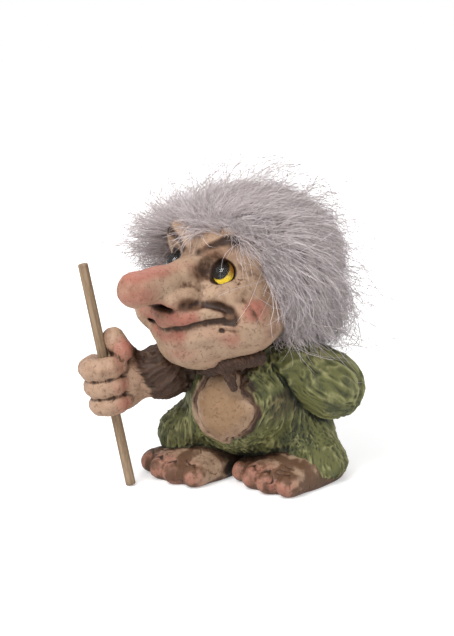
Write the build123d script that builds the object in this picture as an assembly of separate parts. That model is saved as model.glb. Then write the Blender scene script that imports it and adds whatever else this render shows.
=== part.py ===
from build123d import *
import os
from math import cos, pi, radians, sin

# A small cast and painted troll ornament that leans on a wooden stick.
# It strides with its right foot and its right arm forward, and looks along -Y.
# +X is the troll's left and +Z is up. Places are written from the floor under the skull's
# middle, and the finished pieces move together so that the origin is the base's middle.
# The castings are head, torso, two arms and two feet, glued in sockets or on pegs.
# The glass eyes sit in pockets, the wig is glued on, and the stick slides in the fist.

# General fits, in millimetres
GLUE_GAP = 0.3
PEG_CLEARANCE = 0.15
OVERRUN = 5.0
OVAL_POINTS = 12
EGG_STEPS = 6

# Head casting
HEAD_WIDTH = 63.0
HEAD_DEPTH = 63.0
HEAD_HEIGHT = 63.5
HEAD_BASE_HEIGHT = 50.0
# Each row: height, half width, half depth and forward lean, as shares of the head's own sizes
HEAD_LEVEL_SHARES = (
    (0.000, 0.00, 0.00, 0.41),
    (0.030, 0.15, 0.12, 0.41),
    (0.100, 0.27, 0.24, 0.37),
    (0.190, 0.39, 0.36, 0.27),
    (0.320, 0.475, 0.48, 0.17),
    (0.450, 0.50, 0.52, 0.10),
    (0.580, 0.50, 0.51, 0.04),
    (0.700, 0.48, 0.475, 0.02),
    (0.820, 0.42, 0.41, 0.01),
    (0.920, 0.30, 0.30, 0.00),
    (0.975, 0.17, 0.17, 0.00),
    (1.000, 0.00, 0.00, 0.00),
)

# Nose, measured along its own axis from inside the face
NOSE_ROOT_FORWARD = 21.0
NOSE_ROOT_HEIGHT = 89.0
NOSE_LENGTH = 46.0
NOSE_DROOP_DEG = 3.0
NOSE_ROOT_RADIUS = 8.0
NOSE_WAIST_RADIUS = 6.4
NOSE_TIP_RADIUS = 6.9
NOSE_WAIST_SHARE = 0.6
NOSTRIL_RADIUS = 4.8
NOSTRIL_LENGTH = 8.0
NOSTRIL_SPREAD = 7.0
NOSTRIL_FORWARD = 43.0
NOSTRIL_HEIGHT = 81.5

# Brows, lips and mouth
BROW_RADIUS = 4.6
BROW_LENGTH = 13.0
BROW_INNER_X = 5.0
BROW_FORWARD = 24.0
BROW_HEIGHT = 101.0
BROW_SLANT_DEG = 16.0
BROW_TURN_DEG = 32.0
MOUTH_RADIUS = 21.5
MOUTH_CENTRE_FORWARD = 23.5
MOUTH_HEIGHT = 73.0
MOUTH_TILT_DEG = 15.0
LIP_RADIUS = 4.0
LIP_OFFSET = 3.6
MOUTH_SLIT_RADIUS = 1.2

# Glass eyes, each a half ball with a painted disc behind it and a wire shank
EYE_RADIUS = 4.5
EYE_SPREAD = 13.0
EYE_FORWARD = 26.5
EYE_HEIGHT = 89.5
EYE_UP_DEG = 22.0
EYE_OUT_DEG = 10.0
EYE_FIT = 0.1
IRIS_THICKNESS = 0.5
IRIS_MARGIN = 0.2
SHANK_RADIUS = 0.5
SHANK_LENGTH = 6.0
SOCKET_RADIUS = 7.2
SOCKET_RAISE = 2.0

# Torso casting, turned to the troll's left because the right arm reaches forward
TORSO_YAW_DEG = 27.0
TORSO_WIDTH = 53.0
TORSO_DEPTH = 48.0
TORSO_HEIGHT = 54.5
TORSO_BASE_HEIGHT = 10.0
# Each row: height, half width, half depth and forward lean, as shares of the torso's own sizes
TORSO_LEVEL_SHARES = (
    (0.00, 0.00, 0.00, 0.10),
    (0.04, 0.28, 0.24, 0.10),
    (0.12, 0.40, 0.38, 0.10),
    (0.25, 0.47, 0.47, 0.09),
    (0.42, 0.50, 0.51, 0.08),
    (0.60, 0.50, 0.50, 0.05),
    (0.76, 0.49, 0.43, 0.02),
    (0.88, 0.42, 0.33, 0.00),
    (0.97, 0.24, 0.19, 0.00),
    (1.00, 0.00, 0.00, 0.00),
)
# Bare belly, turned back towards the right foot, and the knot of fur under the chin
BELLY_TURN_DEG = -5.0
BELLY_RADIUS = 12.4
BELLY_HALF_HEIGHT = 14.5
BELLY_FORWARD = 16.4
BELLY_HEIGHT = 35.5
KNOT_ROOT_RADIUS = 6.0
KNOT_ROOT_FORWARD = 15.0
KNOT_ROOT_HEIGHT = 47.0
KNOT_RADIUS = 4.0
KNOT_FORWARD = 28.0
KNOT_HEIGHT = 53.0

# Fur covered legs, part of the torso casting
LEFT_LEG_X = 20.0
LEFT_LEG_Y = 12.2
LEFT_LEG_WIDTH = 31.0
LEFT_LEG_DEPTH = 33.0
LEFT_LEG_HEIGHT = 30.0
LEFT_HEM_HEIGHT = 2.6
RIGHT_LEG_X = -20.3
RIGHT_LEG_Y = -13.4
RIGHT_LEG_WIDTH = 30.0
RIGHT_LEG_DEPTH = 31.0
RIGHT_LEG_HEIGHT = 28.0
RIGHT_HEM_HEIGHT = 8.0
# Each row: height, width and depth of the leg and its lean to the torso's axis, as shares
LEG_LEVEL_SHARES = (
    (0.00, 0.93, 0.93, 0.00),
    (0.12, 1.00, 1.00, 0.00),
    (0.35, 0.97, 0.95, 0.05),
    (0.65, 0.88, 0.82, 0.20),
    (1.00, 0.66, 0.60, 0.40),
)

# Feet, each with four toes
FOOT_WIDTH = 33.0
FOOT_LENGTH = 44.0
FOOT_HEIGHT = 12.5
RIGHT_FOOT_X = -14.8
RIGHT_FOOT_Y = -9.2
LEFT_FOOT_X = 19.2
LEFT_FOOT_Y = 9.4
# Each row: height, half width, half length and backward lean, as shares of the foot's own sizes
FOOT_LEVEL_SHARES = (
    (0.00, 0.47, 0.47, 0.00),
    (0.22, 0.50, 0.50, 0.00),
    (0.50, 0.46, 0.46, 0.03),
    (0.80, 0.32, 0.33, 0.09),
    (1.00, 0.14, 0.16, 0.14),
)
TOE_COUNT = 4
TOE_RADIUS = 4.6
TOE_LENGTH = 7.5
TOE_SPAN = 24.0
TOE_REACH = 20.5
TOE_ROUNDING = 3.0
TOE_HEIGHT = 4.4

# Walking stick, a plain dowel that stands on the floor
STICK_RADIUS = 2.0
STICK_LENGTH = 91.5
STICK_FOOT_X = -21.4
STICK_FOOT_Y = -45.2
STICK_SIDE_LEAN_DEG = 9.1
STICK_FRONT_LEAN_DEG = 6.6
STICK_CHAMFER = 0.3
BORE_CLEARANCE = 0.05

# Right arm and the fist that holds the stick
FIST_ALONG_STICK = 42.5
FIST_FRONT_DEG = -45.0
PALM_THICKNESS = 17.0
PALM_WIDTH = 25.0
PALM_HEIGHT = 27.0
PALM_BACK = 4.5
PALM_ASIDE = 4.5
FINGER_COUNT = 3
FINGER_RADIUS = 4.3
FINGER_PITCH = 7.4
FINGER_TAPER = 0.35
FINGER_START_DEG = -125.0
FINGER_END_DEG = 62.0
THUMB_RADIUS = 3.6
THUMB_TIP_RADIUS = 3.1
THUMB_ROOT_RADIUS = 4.6
THUMB_ROOT_RISE = 6.0
THUMB_KNEE_RISE = 17.0
THUMB_KNEE_ASIDE = 5.6
THUMB_TIP_RISE = 13.0
THUMB_TIP_ASIDE = 9.0
THUMB_TIP_FRONT = 4.5
RIGHT_SHOULDER_X = -15.0
RIGHT_SHOULDER_Y = -13.5
RIGHT_SHOULDER_HEIGHT = 46.0
RIGHT_SHOULDER_RADIUS = 10.5
RIGHT_WRIST_RADIUS = 9.0

# Left arm, swung behind the back, as a path with a radius at each point
LEFT_SHOULDER_X = 21.0
LEFT_SHOULDER_Y = 4.0
LEFT_SHOULDER_HEIGHT = 50.0
LEFT_SHOULDER_RADIUS = 11.5
LEFT_ELBOW_X = 30.0
LEFT_ELBOW_Y = 16.0
LEFT_ELBOW_HEIGHT = 41.0
LEFT_ELBOW_RADIUS = 12.5
LEFT_WRIST_X = 20.0
LEFT_WRIST_Y = 29.0
LEFT_WRIST_HEIGHT = 33.0
LEFT_WRIST_RADIUS = 7.5
LEFT_HAND_RADIUS = 6.2
LEFT_HAND_LENGTH = 8.5

# Glued pegs
NECK_PEG_RADIUS = 8.0
NECK_PEG_BOTTOM = 46.0
NECK_PEG_LENGTH = 24.0
FOOT_PEG_RADIUS = 3.0
FOOT_PEG_LENGTH = 12.0

# Wig: a fabric backing that follows the skull, and the pile in four panels
BACKING_THICKNESS = 1.0
BACKING_EDGE_HEIGHT = 67.0
WIG_WIDTH = 92.0
WIG_DEPTH = 88.0
WIG_HEIGHT = 77.0
WIG_BASE_HEIGHT = 43.0
# Each row: height, half width, half depth and backward lean, as shares of the wig's own sizes
WIG_LEVEL_SHARES = (
    (0.000, 0.20, 0.10, 0.240),
    (0.100, 0.33, 0.19, 0.220),
    (0.220, 0.40, 0.28, 0.150),
    (0.380, 0.46, 0.40, 0.030),
    (0.550, 0.50, 0.489, -0.075),
    (0.700, 0.475, 0.480, -0.070),
    (0.830, 0.40, 0.40, -0.045),
    (0.930, 0.285, 0.285, -0.020),
    (0.980, 0.17, 0.17, -0.010),
    (1.000, 0.00, 0.00, -0.010),
)
FACE_OPENING_HALF_WIDTH = 38.0
FACE_OPENING_HALF_HEIGHT = 28.0
FACE_OPENING_HEIGHT = 76.0
FACE_OPENING_DEPTH = 3.0
# Each row: how far back, and the opening's half width and half height, as shares
FACE_OPENING_SHARES = (
    (0.00, 1.06, 1.70),
    (0.62, 0.96, 1.27),
    (0.85, 0.73, 0.93),
    (1.00, 0.42, 0.55),
)
CROWN_SEAM_HEIGHT = 98.0
BACK_SEAM_Y = 12.0


def oval(plane, half_width, half_depth):
    """A closed smooth oval face, centred on the plane."""
    points = []
    for step in range(OVAL_POINTS):
        angle = 2 * pi * step / OVAL_POINTS
        points.append((half_width * cos(angle), half_depth * sin(angle)))
    outline = Spline(*points, periodic=True)
    return plane * make_face(outline)


def level_plane(x, y, z, yaw=0.0):
    """A horizontal plane at a point, turned about its own vertical."""
    direction = Vector(cos(radians(yaw)), sin(radians(yaw)), 0)
    return Plane(origin=(x, y, z), x_dir=direction, z_dir=(0, 0, 1))


def levels_loft(levels):
    """A loft through ovals. A row without size is the point that closes an end."""
    sections = []
    for plane, half_width, half_depth in levels:
        if half_width <= 0:
            sections.append(Vertex(*plane.origin))
        else:
            sections.append(oval(plane, half_width, half_depth))
    return loft(sections)


def egg(plane, half_width, half_depth, half_height):
    """An egg shape: ovals stacked along the plane's normal, their size following an ellipse."""
    levels = []
    for step in range(EGG_STEPS + 1):
        angle = pi * (step / EGG_STEPS - 0.5)
        size = cos(angle) if 0 < step < EGG_STEPS else 0
        levels.append((plane.offset(half_height * sin(angle)), half_width * size, half_depth * size))
    return levels_loft(levels)


def rounded_cone(start, end, start_radius, end_radius):
    """A limb segment: a straight or tapered rod with a ball at each end."""
    start = Vector(*start)
    end = Vector(*end)
    length = (end - start).length
    standing = (Align.CENTER, Align.CENTER, Align.MIN)
    if start_radius == end_radius:
        rod = Cylinder(start_radius, length, align=standing)
    else:
        rod = Cone(start_radius, end_radius, length, align=standing)
    rod = Plane(origin=start, z_dir=end - start) * rod
    return rod + Pos(*start) * Sphere(start_radius) + Pos(*end) * Sphere(end_radius)


def peg(start, direction, radius, length):
    """A plain round peg from a point along a direction."""
    plane = Plane(origin=start, z_dir=direction)
    return plane * Cylinder(radius, length, align=(Align.CENTER, Align.CENTER, Align.MIN))


# Skull and jaw as one loft. grow makes the same form a little larger, to cut seats in what it meets.
def head_form(grow=0.0):
    half_height = HEAD_HEIGHT / 2
    middle = HEAD_BASE_HEIGHT + half_height
    levels = []
    for height, width, depth, lean in HEAD_LEVEL_SHARES:
        rise = (height * HEAD_HEIGHT - half_height) * (1 + grow / half_height)
        plane = level_plane(0, -lean * HEAD_DEPTH, middle + rise)
        half_width = width * HEAD_WIDTH + grow if width else 0
        half_depth = depth * HEAD_DEPTH + grow if depth else 0
        levels.append((plane, half_width, half_depth))
    return levels_loft(levels)


# Nose turned about its own axis, with the rounded tip and the narrow bridge
def nose_form():
    droop = radians(NOSE_DROOP_DEG)
    shaft = NOSE_LENGTH - NOSE_TIP_RADIUS
    side = Spline(
        (NOSE_ROOT_RADIUS, 0),
        (NOSE_WAIST_RADIUS, NOSE_WAIST_SHARE * shaft),
        (NOSE_TIP_RADIUS, shaft),
        tangents=((-1, 2), (0, 1)),
    )
    tip = CenterArc((0, shaft), NOSE_TIP_RADIUS, 0, 90)
    axle = Line((0, NOSE_LENGTH), (0, 0))
    root = Line((0, 0), (NOSE_ROOT_RADIUS, 0))
    turned = revolve(Plane.XZ * make_face(side + tip + axle + root), axis=Axis.Z)
    place = Plane(
        origin=(0, -NOSE_ROOT_FORWARD, NOSE_ROOT_HEIGHT),
        z_dir=(0, -cos(droop), -sin(droop)),
    )
    return place * turned


def mouth_ring(offset, radius):
    """A ring whose front stands out of the face as a lip, or cuts the slit between the lips."""
    tilt = radians(MOUTH_TILT_DEG)
    plane = Plane(
        origin=(
            0,
            -MOUTH_CENTRE_FORWARD - offset * sin(tilt),
            MOUTH_HEIGHT + offset * cos(tilt),
        ),
        z_dir=(0, -sin(tilt), cos(tilt)),
    )
    return plane * Torus(MOUTH_RADIUS, radius)


def eye_plane(side):
    """The plane of an eye's flat back. Its normal is where the eye looks; side is 1 for the left eye."""
    up = radians(EYE_UP_DEG)
    out = radians(EYE_OUT_DEG)
    look = Vector(side * sin(out) * cos(up), -cos(out) * cos(up), sin(up))
    return Plane(origin=(side * EYE_SPREAD, -EYE_FORWARD, EYE_HEIGHT), z_dir=look)


def brow_form(side, grow=0.0):
    """A ridge over one eye that falls and turns back towards the temple."""
    slant = radians(BROW_SLANT_DEG)
    turn = radians(BROW_TURN_DEG)
    inner = Vector(side * BROW_INNER_X, -BROW_FORWARD, BROW_HEIGHT)
    run = Vector(side * cos(slant) * cos(turn), cos(slant) * sin(turn), -sin(slant))
    return rounded_cone(inner, inner + run * BROW_LENGTH, BROW_RADIUS + grow, BROW_RADIUS + grow)


def nostril_form(side):
    """The round wing beside the nose, running back into the cheek."""
    front = Vector(side * NOSTRIL_SPREAD, -NOSTRIL_FORWARD, NOSTRIL_HEIGHT)
    return rounded_cone(
        front, front + Vector(0, NOSTRIL_LENGTH, 0), NOSTRIL_RADIUS, NOSTRIL_RADIUS
    )


def neck_peg(grow=0.0):
    return peg(
        (0, 0, NECK_PEG_BOTTOM - grow), (0, 0, 1), NECK_PEG_RADIUS + grow, NECK_PEG_LENGTH + grow
    )


def head_casting():
    head = head_form() + nose_form() + neck_peg()
    for side in (-1, 1):
        head += nostril_form(side)
        head += brow_form(side)
    head += mouth_ring(LIP_OFFSET, LIP_RADIUS)
    head += mouth_ring(-LIP_OFFSET, LIP_RADIUS)
    head -= mouth_ring(0, MOUTH_SLIT_RADIUS).moved(Location((0, -LIP_RADIUS, 0)))
    for side in (-1, 1):
        plane = eye_plane(side)
        recess = plane.offset(EYE_RADIUS + SOCKET_RAISE) * Sphere(SOCKET_RADIUS)
        pocket = plane.offset(-IRIS_THICKNESS) * Cylinder(
            EYE_RADIUS + EYE_FIT,
            EYE_RADIUS + IRIS_THICKNESS + OVERRUN,
            align=(Align.CENTER, Align.CENTER, Align.MIN),
        )
        hole = plane * Cylinder(
            SHANK_RADIUS + EYE_FIT, 2 * (SHANK_LENGTH + IRIS_THICKNESS + EYE_FIT)
        )
        head -= [recess, pocket, hole]
    return head


def eye_pieces(side):
    """The glass dome, the painted disc behind it and the wire shank."""
    plane = eye_plane(side)
    half_space = Cylinder(
        EYE_RADIUS + OVERRUN, EYE_RADIUS + OVERRUN, align=(Align.CENTER, Align.CENTER, Align.MIN)
    )
    glass = plane * (Sphere(EYE_RADIUS) & half_space)
    iris = plane.offset(-IRIS_THICKNESS) * Cylinder(
        EYE_RADIUS - IRIS_MARGIN, IRIS_THICKNESS, align=(Align.CENTER, Align.CENTER, Align.MIN)
    )
    shank = plane.offset(-IRIS_THICKNESS) * Cylinder(
        SHANK_RADIUS, SHANK_LENGTH, align=(Align.CENTER, Align.CENTER, Align.MAX)
    )
    return glass, iris, shank


# Barrel of the torso as one loft, turned about the vertical
def torso_form(grow=0.0):
    yaw = radians(TORSO_YAW_DEG)
    half_height = TORSO_HEIGHT / 2
    middle = TORSO_BASE_HEIGHT + half_height
    levels = []
    for height, width, depth, lean in TORSO_LEVEL_SHARES:
        rise = (height * TORSO_HEIGHT - half_height) * (1 + grow / half_height)
        forward = lean * TORSO_DEPTH
        plane = level_plane(
            forward * sin(yaw), -forward * cos(yaw), middle + rise, TORSO_YAW_DEG
        )
        half_width = width * TORSO_WIDTH + grow if width else 0
        half_depth = depth * TORSO_DEPTH + grow if depth else 0
        levels.append((plane, half_width, half_depth))
    return levels_loft(levels)


def torso_front(forward, height, turn=0.0):
    """A level plane ahead of the torso's axis, turned from the torso's own front line."""
    yaw = radians(TORSO_YAW_DEG + turn)
    return level_plane(forward * sin(yaw), -forward * cos(yaw), height)


def fur_knot():
    """The tuft that juts out under the chin."""
    root = torso_front(KNOT_ROOT_FORWARD, KNOT_ROOT_HEIGHT).origin
    tip = torso_front(KNOT_FORWARD, KNOT_HEIGHT).origin
    return rounded_cone(root, tip, KNOT_ROOT_RADIUS, KNOT_RADIUS)


def leg_form(x, y, width, depth, hem, top, grow=0.0):
    """A fur leg: a loft from the hem over the foot up into the torso."""
    levels = []
    for height, width_share, depth_share, lean in LEG_LEVEL_SHARES:
        plane = level_plane(x * (1 - lean), y * (1 - lean), hem + height * (top - hem))
        levels.append((plane, width_share * width / 2 + grow, depth_share * depth / 2 + grow))
    return levels_loft(levels)


def left_leg(grow=0.0):
    return leg_form(
        LEFT_LEG_X, LEFT_LEG_Y, LEFT_LEG_WIDTH, LEFT_LEG_DEPTH, LEFT_HEM_HEIGHT, LEFT_LEG_HEIGHT, grow
    )


def right_leg(grow=0.0):
    return leg_form(
        RIGHT_LEG_X, RIGHT_LEG_Y, RIGHT_LEG_WIDTH, RIGHT_LEG_DEPTH, RIGHT_HEM_HEIGHT, RIGHT_LEG_HEIGHT, grow
    )


# Foot: a flat-soled loft with rounded toes along an arc in front
def foot_form(x, y, grow=0.0):
    levels = []
    for height, width, length, lean in FOOT_LEVEL_SHARES:
        plane = level_plane(x, y + lean * FOOT_LENGTH, height * (FOOT_HEIGHT + grow))
        levels.append((plane, width * FOOT_WIDTH + grow, length * FOOT_LENGTH + grow))
    return levels_loft(levels)


def toes(x, y, grow=0.0):
    row = []
    radius = TOE_RADIUS + grow
    for index in range(TOE_COUNT):
        place = index / (TOE_COUNT - 1) - 0.5
        reach = TOE_REACH - TOE_ROUNDING * (2 * place) ** 2
        tip = Vector(x + place * TOE_SPAN, y - reach, TOE_HEIGHT)
        row.append(rounded_cone(tip, tip + Vector(0, TOE_LENGTH, 0), radius, radius))
    return row


def foot_peg(x, y, grow=0.0):
    """A peg that rises from inside the instep into the leg."""
    back = FOOT_LEVEL_SHARES[-1][-1] * FOOT_LENGTH
    return peg(
        (x, y + back, FOOT_HEIGHT / 2), (0, 0, 1), FOOT_PEG_RADIUS + grow, FOOT_PEG_LENGTH + grow
    )


def foot_casting(x, y):
    under_floor = Pos(x, y, 0) * Box(
        2 * FOOT_WIDTH, 2 * FOOT_LENGTH, FOOT_HEIGHT, align=(Align.CENTER, Align.CENTER, Align.MAX)
    )
    foot = foot_form(x, y) + foot_peg(x, y)
    for toe in toes(x, y):
        foot += toe
    return foot - under_floor


def stick_plane():
    """The stick's foot and its axis, from the two leans."""
    side = radians(STICK_SIDE_LEAN_DEG)
    front = radians(STICK_FRONT_LEAN_DEG)
    axis = Vector(-sin(side), -sin(front), 1).normalized()
    rim_lift = STICK_RADIUS * (1 - axis.Z ** 2) ** 0.5
    return Plane(origin=(STICK_FOOT_X, STICK_FOOT_Y, rim_lift), z_dir=axis)


def walking_stick():
    dowel = Cylinder(STICK_RADIUS, STICK_LENGTH, align=(Align.CENTER, Align.CENTER, Align.MIN))
    dowel = chamfer(dowel.edges().filter_by(GeomType.CIRCLE), STICK_CHAMFER)
    return stick_plane() * dowel


def fist_plane():
    """Origin on the stick's axis, normal along the stick, and x towards the finger side."""
    stick = stick_plane()
    axis = stick.z_dir
    front = Vector(cos(radians(FIST_FRONT_DEG)), sin(radians(FIST_FRONT_DEG)), 0)
    front = (front - axis * front.dot(axis)).normalized()
    return Plane(origin=stick.origin + axis * FIST_ALONG_STICK, x_dir=front, z_dir=axis)


# Fingers bend round the bore as ring segments with a ball at the tip
def fingers():
    row = []
    for index in range(FINGER_COUNT):
        radius = FINGER_RADIUS - FINGER_TAPER * index
        rise = FINGER_PITCH * ((FINGER_COUNT - 1) / 2 - index)
        bend = STICK_RADIUS + radius
        circle = Plane.XZ * Pos(bend, rise) * Circle(radius)
        ring = revolve(circle, axis=Axis.Z, revolution_arc=FINGER_END_DEG - FINGER_START_DEG)
        ring = Rot(0, 0, FINGER_START_DEG) * ring
        end = radians(FINGER_END_DEG)
        row.append(ring + Pos(bend * cos(end), bend * sin(end), rise) * Sphere(radius))
    return row


def fist_form():
    palm = Plane(origin=(-PALM_BACK, PALM_ASIDE, 0), z_dir=(0, 0, 1))
    fist = egg(palm, PALM_THICKNESS / 2, PALM_WIDTH / 2, PALM_HEIGHT / 2)
    for finger in fingers():
        fist += finger
    root = (-PALM_BACK, THUMB_KNEE_ASIDE, THUMB_ROOT_RISE)
    knee = (0, THUMB_KNEE_ASIDE, THUMB_KNEE_RISE)
    tip = (THUMB_TIP_FRONT, THUMB_TIP_ASIDE, THUMB_TIP_RISE)
    fist += rounded_cone(root, knee, THUMB_ROOT_RADIUS, THUMB_RADIUS)
    fist += rounded_cone(knee, tip, THUMB_RADIUS, THUMB_TIP_RADIUS)
    return fist_plane() * fist


def right_arm_form(grow=0.0):
    """The forearm, from inside the shoulder to inside the palm."""
    shoulder = Vector(RIGHT_SHOULDER_X, RIGHT_SHOULDER_Y, RIGHT_SHOULDER_HEIGHT)
    wrist = (fist_plane() * Pos(-PALM_BACK, PALM_ASIDE, 0)).position
    return rounded_cone(
        shoulder, wrist, RIGHT_SHOULDER_RADIUS + grow, RIGHT_WRIST_RADIUS + grow
    )


def left_arm_form(grow=0.0):
    """Upper arm and forearm, with the hand resting behind the back."""
    shoulder = Vector(LEFT_SHOULDER_X, LEFT_SHOULDER_Y, LEFT_SHOULDER_HEIGHT)
    elbow = Vector(LEFT_ELBOW_X, LEFT_ELBOW_Y, LEFT_ELBOW_HEIGHT)
    wrist = Vector(LEFT_WRIST_X, LEFT_WRIST_Y, LEFT_WRIST_HEIGHT)
    arm = rounded_cone(shoulder, elbow, LEFT_SHOULDER_RADIUS + grow, LEFT_ELBOW_RADIUS + grow)
    arm += rounded_cone(elbow, wrist, LEFT_ELBOW_RADIUS + grow, LEFT_WRIST_RADIUS + grow)
    fingertips = wrist + (wrist - elbow).normalized() * LEFT_HAND_LENGTH
    return arm + rounded_cone(
        wrist, fingertips, LEFT_WRIST_RADIUS + grow, LEFT_HAND_RADIUS + grow
    )


def face_opening():
    """The space that the wig leaves for the face, narrower towards the back."""
    front = -WIG_DEPTH
    back = -FACE_OPENING_DEPTH
    levels = []
    for share, width, height in FACE_OPENING_SHARES:
        plane = Plane(
            origin=(0, front + share * (back - front), FACE_OPENING_HEIGHT),
            x_dir=(1, 0, 0),
            z_dir=(0, 1, 0),
        )
        levels.append(
            (plane, width * FACE_OPENING_HALF_WIDTH, height * FACE_OPENING_HALF_HEIGHT)
        )
    return levels_loft(levels)


def wig_form():
    levels = []
    for height, width, depth, lean in WIG_LEVEL_SHARES:
        plane = level_plane(0, lean * WIG_DEPTH, WIG_BASE_HEIGHT + height * WIG_HEIGHT)
        levels.append((plane, width * WIG_WIDTH, depth * WIG_DEPTH))
    return levels_loft(levels) - face_opening()


def wig_backing(wig, seat):
    """The fabric cap under the hair, glued to the skull."""
    reach = max(WIG_WIDTH, WIG_DEPTH, WIG_HEIGHT)
    above = Pos(0, 0, BACKING_EDGE_HEIGHT) * Box(
        2 * reach, 2 * reach, reach, align=(Align.CENTER, Align.CENTER, Align.MIN)
    )
    cap = (head_form(GLUE_GAP + BACKING_THICKNESS) & wig & above) - seat
    for side in (-1, 1):
        cap -= brow_form(side, GLUE_GAP)
    return cap


def hair_panels(wig):
    """The pile of the wig, clear of the backing and of the shoulders, in four panels."""
    reach = max(WIG_WIDTH, WIG_DEPTH, WIG_HEIGHT)
    under = GLUE_GAP + BACKING_THICKNESS + GLUE_GAP
    pile = wig - head_form(under) - torso_form(GLUE_GAP) - left_arm_form(GLUE_GAP)
    for side in (-1, 1):
        pile -= brow_form(side, GLUE_GAP)
    seam = Pos(0, BACK_SEAM_Y, CROWN_SEAM_HEIGHT)
    below = Align.MAX
    panels = {
        "hair_crown": Box(
            2 * reach, 2 * reach, reach, align=(Align.CENTER, Align.CENTER, Align.MIN)
        ),
        "hair_back": Box(2 * reach, reach, reach, align=(Align.CENTER, Align.MIN, below)),
        "hair_left": Box(reach, reach, reach, align=(Align.MIN, Align.MAX, below)),
        "hair_right": Box(reach, reach, reach, align=(Align.MAX, Align.MAX, below)),
    }
    return {name: pile & (seam * block) for name, block in panels.items()}


def torso_casting(head_seat):
    """The furry trunk and both legs, with seats for the head, the arms and the feet."""
    torso = torso_form() + left_leg() + right_leg()
    for x, y in ((RIGHT_FOOT_X, RIGHT_FOOT_Y), (LEFT_FOOT_X, LEFT_FOOT_Y)):
        torso -= foot_form(x, y, GLUE_GAP)
        torso -= foot_peg(x, y, PEG_CLEARANCE)
        torso -= toes(x, y, GLUE_GAP)
    belly = torso_front(BELLY_FORWARD, BELLY_HEIGHT, BELLY_TURN_DEG)
    torso += egg(belly, BELLY_RADIUS, BELLY_RADIUS, BELLY_HALF_HEIGHT)
    torso += fur_knot()
    torso -= [head_seat, right_arm_form(GLUE_GAP), left_arm_form(GLUE_GAP), neck_peg(PEG_CLEARANCE)]
    return torso


def right_arm_casting(head_seat):
    """The sleeve and the fist, bored along the stick."""
    bore = stick_plane() * Cylinder(STICK_RADIUS + BORE_CLEARANCE, 2 * STICK_LENGTH)
    return right_arm_form() + fist_form() - bore - head_seat


def make_parts():
    head_seat = head_form(GLUE_GAP)
    wig = wig_form()
    parts = {
        "head": head_casting(),
        "torso": torso_casting(head_seat),
        "right_arm": right_arm_casting(head_seat),
        "left_arm": left_arm_form() - head_seat,
        "right_foot": foot_casting(RIGHT_FOOT_X, RIGHT_FOOT_Y),
        "left_foot": foot_casting(LEFT_FOOT_X, LEFT_FOOT_Y),
        "walking_stick": walking_stick(),
        "wig_backing": wig_backing(wig, head_seat),
    }
    for side, name in ((1, "left"), (-1, "right")):
        glass, iris, shank = eye_pieces(side)
        parts[f"{name}_eye_glass"] = glass
        parts[f"{name}_eye_iris"] = iris
        parts[f"{name}_eye_shank"] = shank
    parts.update(hair_panels(wig))
    return parts


def main():
    parts = make_parts()
    box = Compound(list(parts.values())).bounding_box()
    middle = box.center()
    to_origin = Pos(-middle.X, -middle.Y, -box.min.Z)
    os.makedirs("parts", exist_ok=True)
    for name, shape in parts.items():
        export_step(to_origin * shape, f"parts/{name}.step")
    print("moved by", to_origin.position, "box", box.size)


main()
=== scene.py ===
"""A small painted troll ornament: castings, glass eyes, wig hair and a walking stick.

The shapes are written in millimetres from the floor under the middle of the skull, with -Y the
way the face looks and +X the troll's left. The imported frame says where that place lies.
"""
import logging
import math
from dataclasses import dataclass, field
from enum import Enum
from typing import Callable, Optional, Sequence, Union

import bpy
import numpy as np
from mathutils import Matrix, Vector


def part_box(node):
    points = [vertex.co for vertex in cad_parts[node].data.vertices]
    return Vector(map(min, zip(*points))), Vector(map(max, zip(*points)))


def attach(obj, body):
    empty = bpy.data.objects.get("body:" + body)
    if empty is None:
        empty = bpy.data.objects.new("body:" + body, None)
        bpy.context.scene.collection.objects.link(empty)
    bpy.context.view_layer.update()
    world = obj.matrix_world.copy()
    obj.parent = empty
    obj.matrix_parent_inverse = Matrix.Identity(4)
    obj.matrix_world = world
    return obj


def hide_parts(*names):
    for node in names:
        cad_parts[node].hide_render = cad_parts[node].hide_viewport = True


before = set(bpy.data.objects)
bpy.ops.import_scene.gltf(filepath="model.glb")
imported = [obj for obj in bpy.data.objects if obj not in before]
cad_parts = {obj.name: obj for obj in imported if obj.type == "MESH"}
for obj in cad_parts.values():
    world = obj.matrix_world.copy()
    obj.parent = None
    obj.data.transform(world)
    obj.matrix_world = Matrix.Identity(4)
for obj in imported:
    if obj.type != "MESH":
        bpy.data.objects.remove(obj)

import openvdb
from mathutils import Matrix

LOG = logging.getLogger("troll")
MM = 0.001
BODY = "figure"
STICK_BODY = "stick"
Array = np.ndarray
Material = bpy.types.Material
Number = Union[int, float]
Colour = tuple[float, float, float]
Point = tuple[float, float, float]
Path = Sequence[Point]
Attributes = dict[str, Array]
Distance = Callable[[Array], Array]


class Slot(Enum):
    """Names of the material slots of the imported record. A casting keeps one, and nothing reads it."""

    FLESH = "painted_flesh"
    FUR = "painted_fur"
    STICK = "stick_wood"
    BACKING = "backing_cloth"
    GLASS = "eye_glass"
    IRIS = "eye_paint"
    HAIR = "hair_fibre"


class Side(Enum):
    """The troll's own left and right, as the sign of X."""

    LEFT = 1
    RIGHT = -1


# Arithmetic on whole arrays


def unit(vectors: Array) -> Array:
    """Vectors scaled to a length of one."""
    length = np.linalg.norm(vectors, axis=-1, keepdims=True)
    return vectors / np.maximum(length, 1e-9)


def rise(values: Array, low: float, high: float) -> Array:
    """A smooth step from 0 at low to 1 at high, which may lie lower: 3t^2 - 2t^3 of share t."""
    share = np.clip((values - low) / (high - low), 0.0, 1.0)
    return share * share * (3.0 - 2.0 * share)


def turn_about_z(degrees: float) -> Array:
    """A rotation matrix about the upright axis."""
    return np.array(Matrix.Rotation(math.radians(degrees), 3, "Z"), np.float32)


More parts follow.
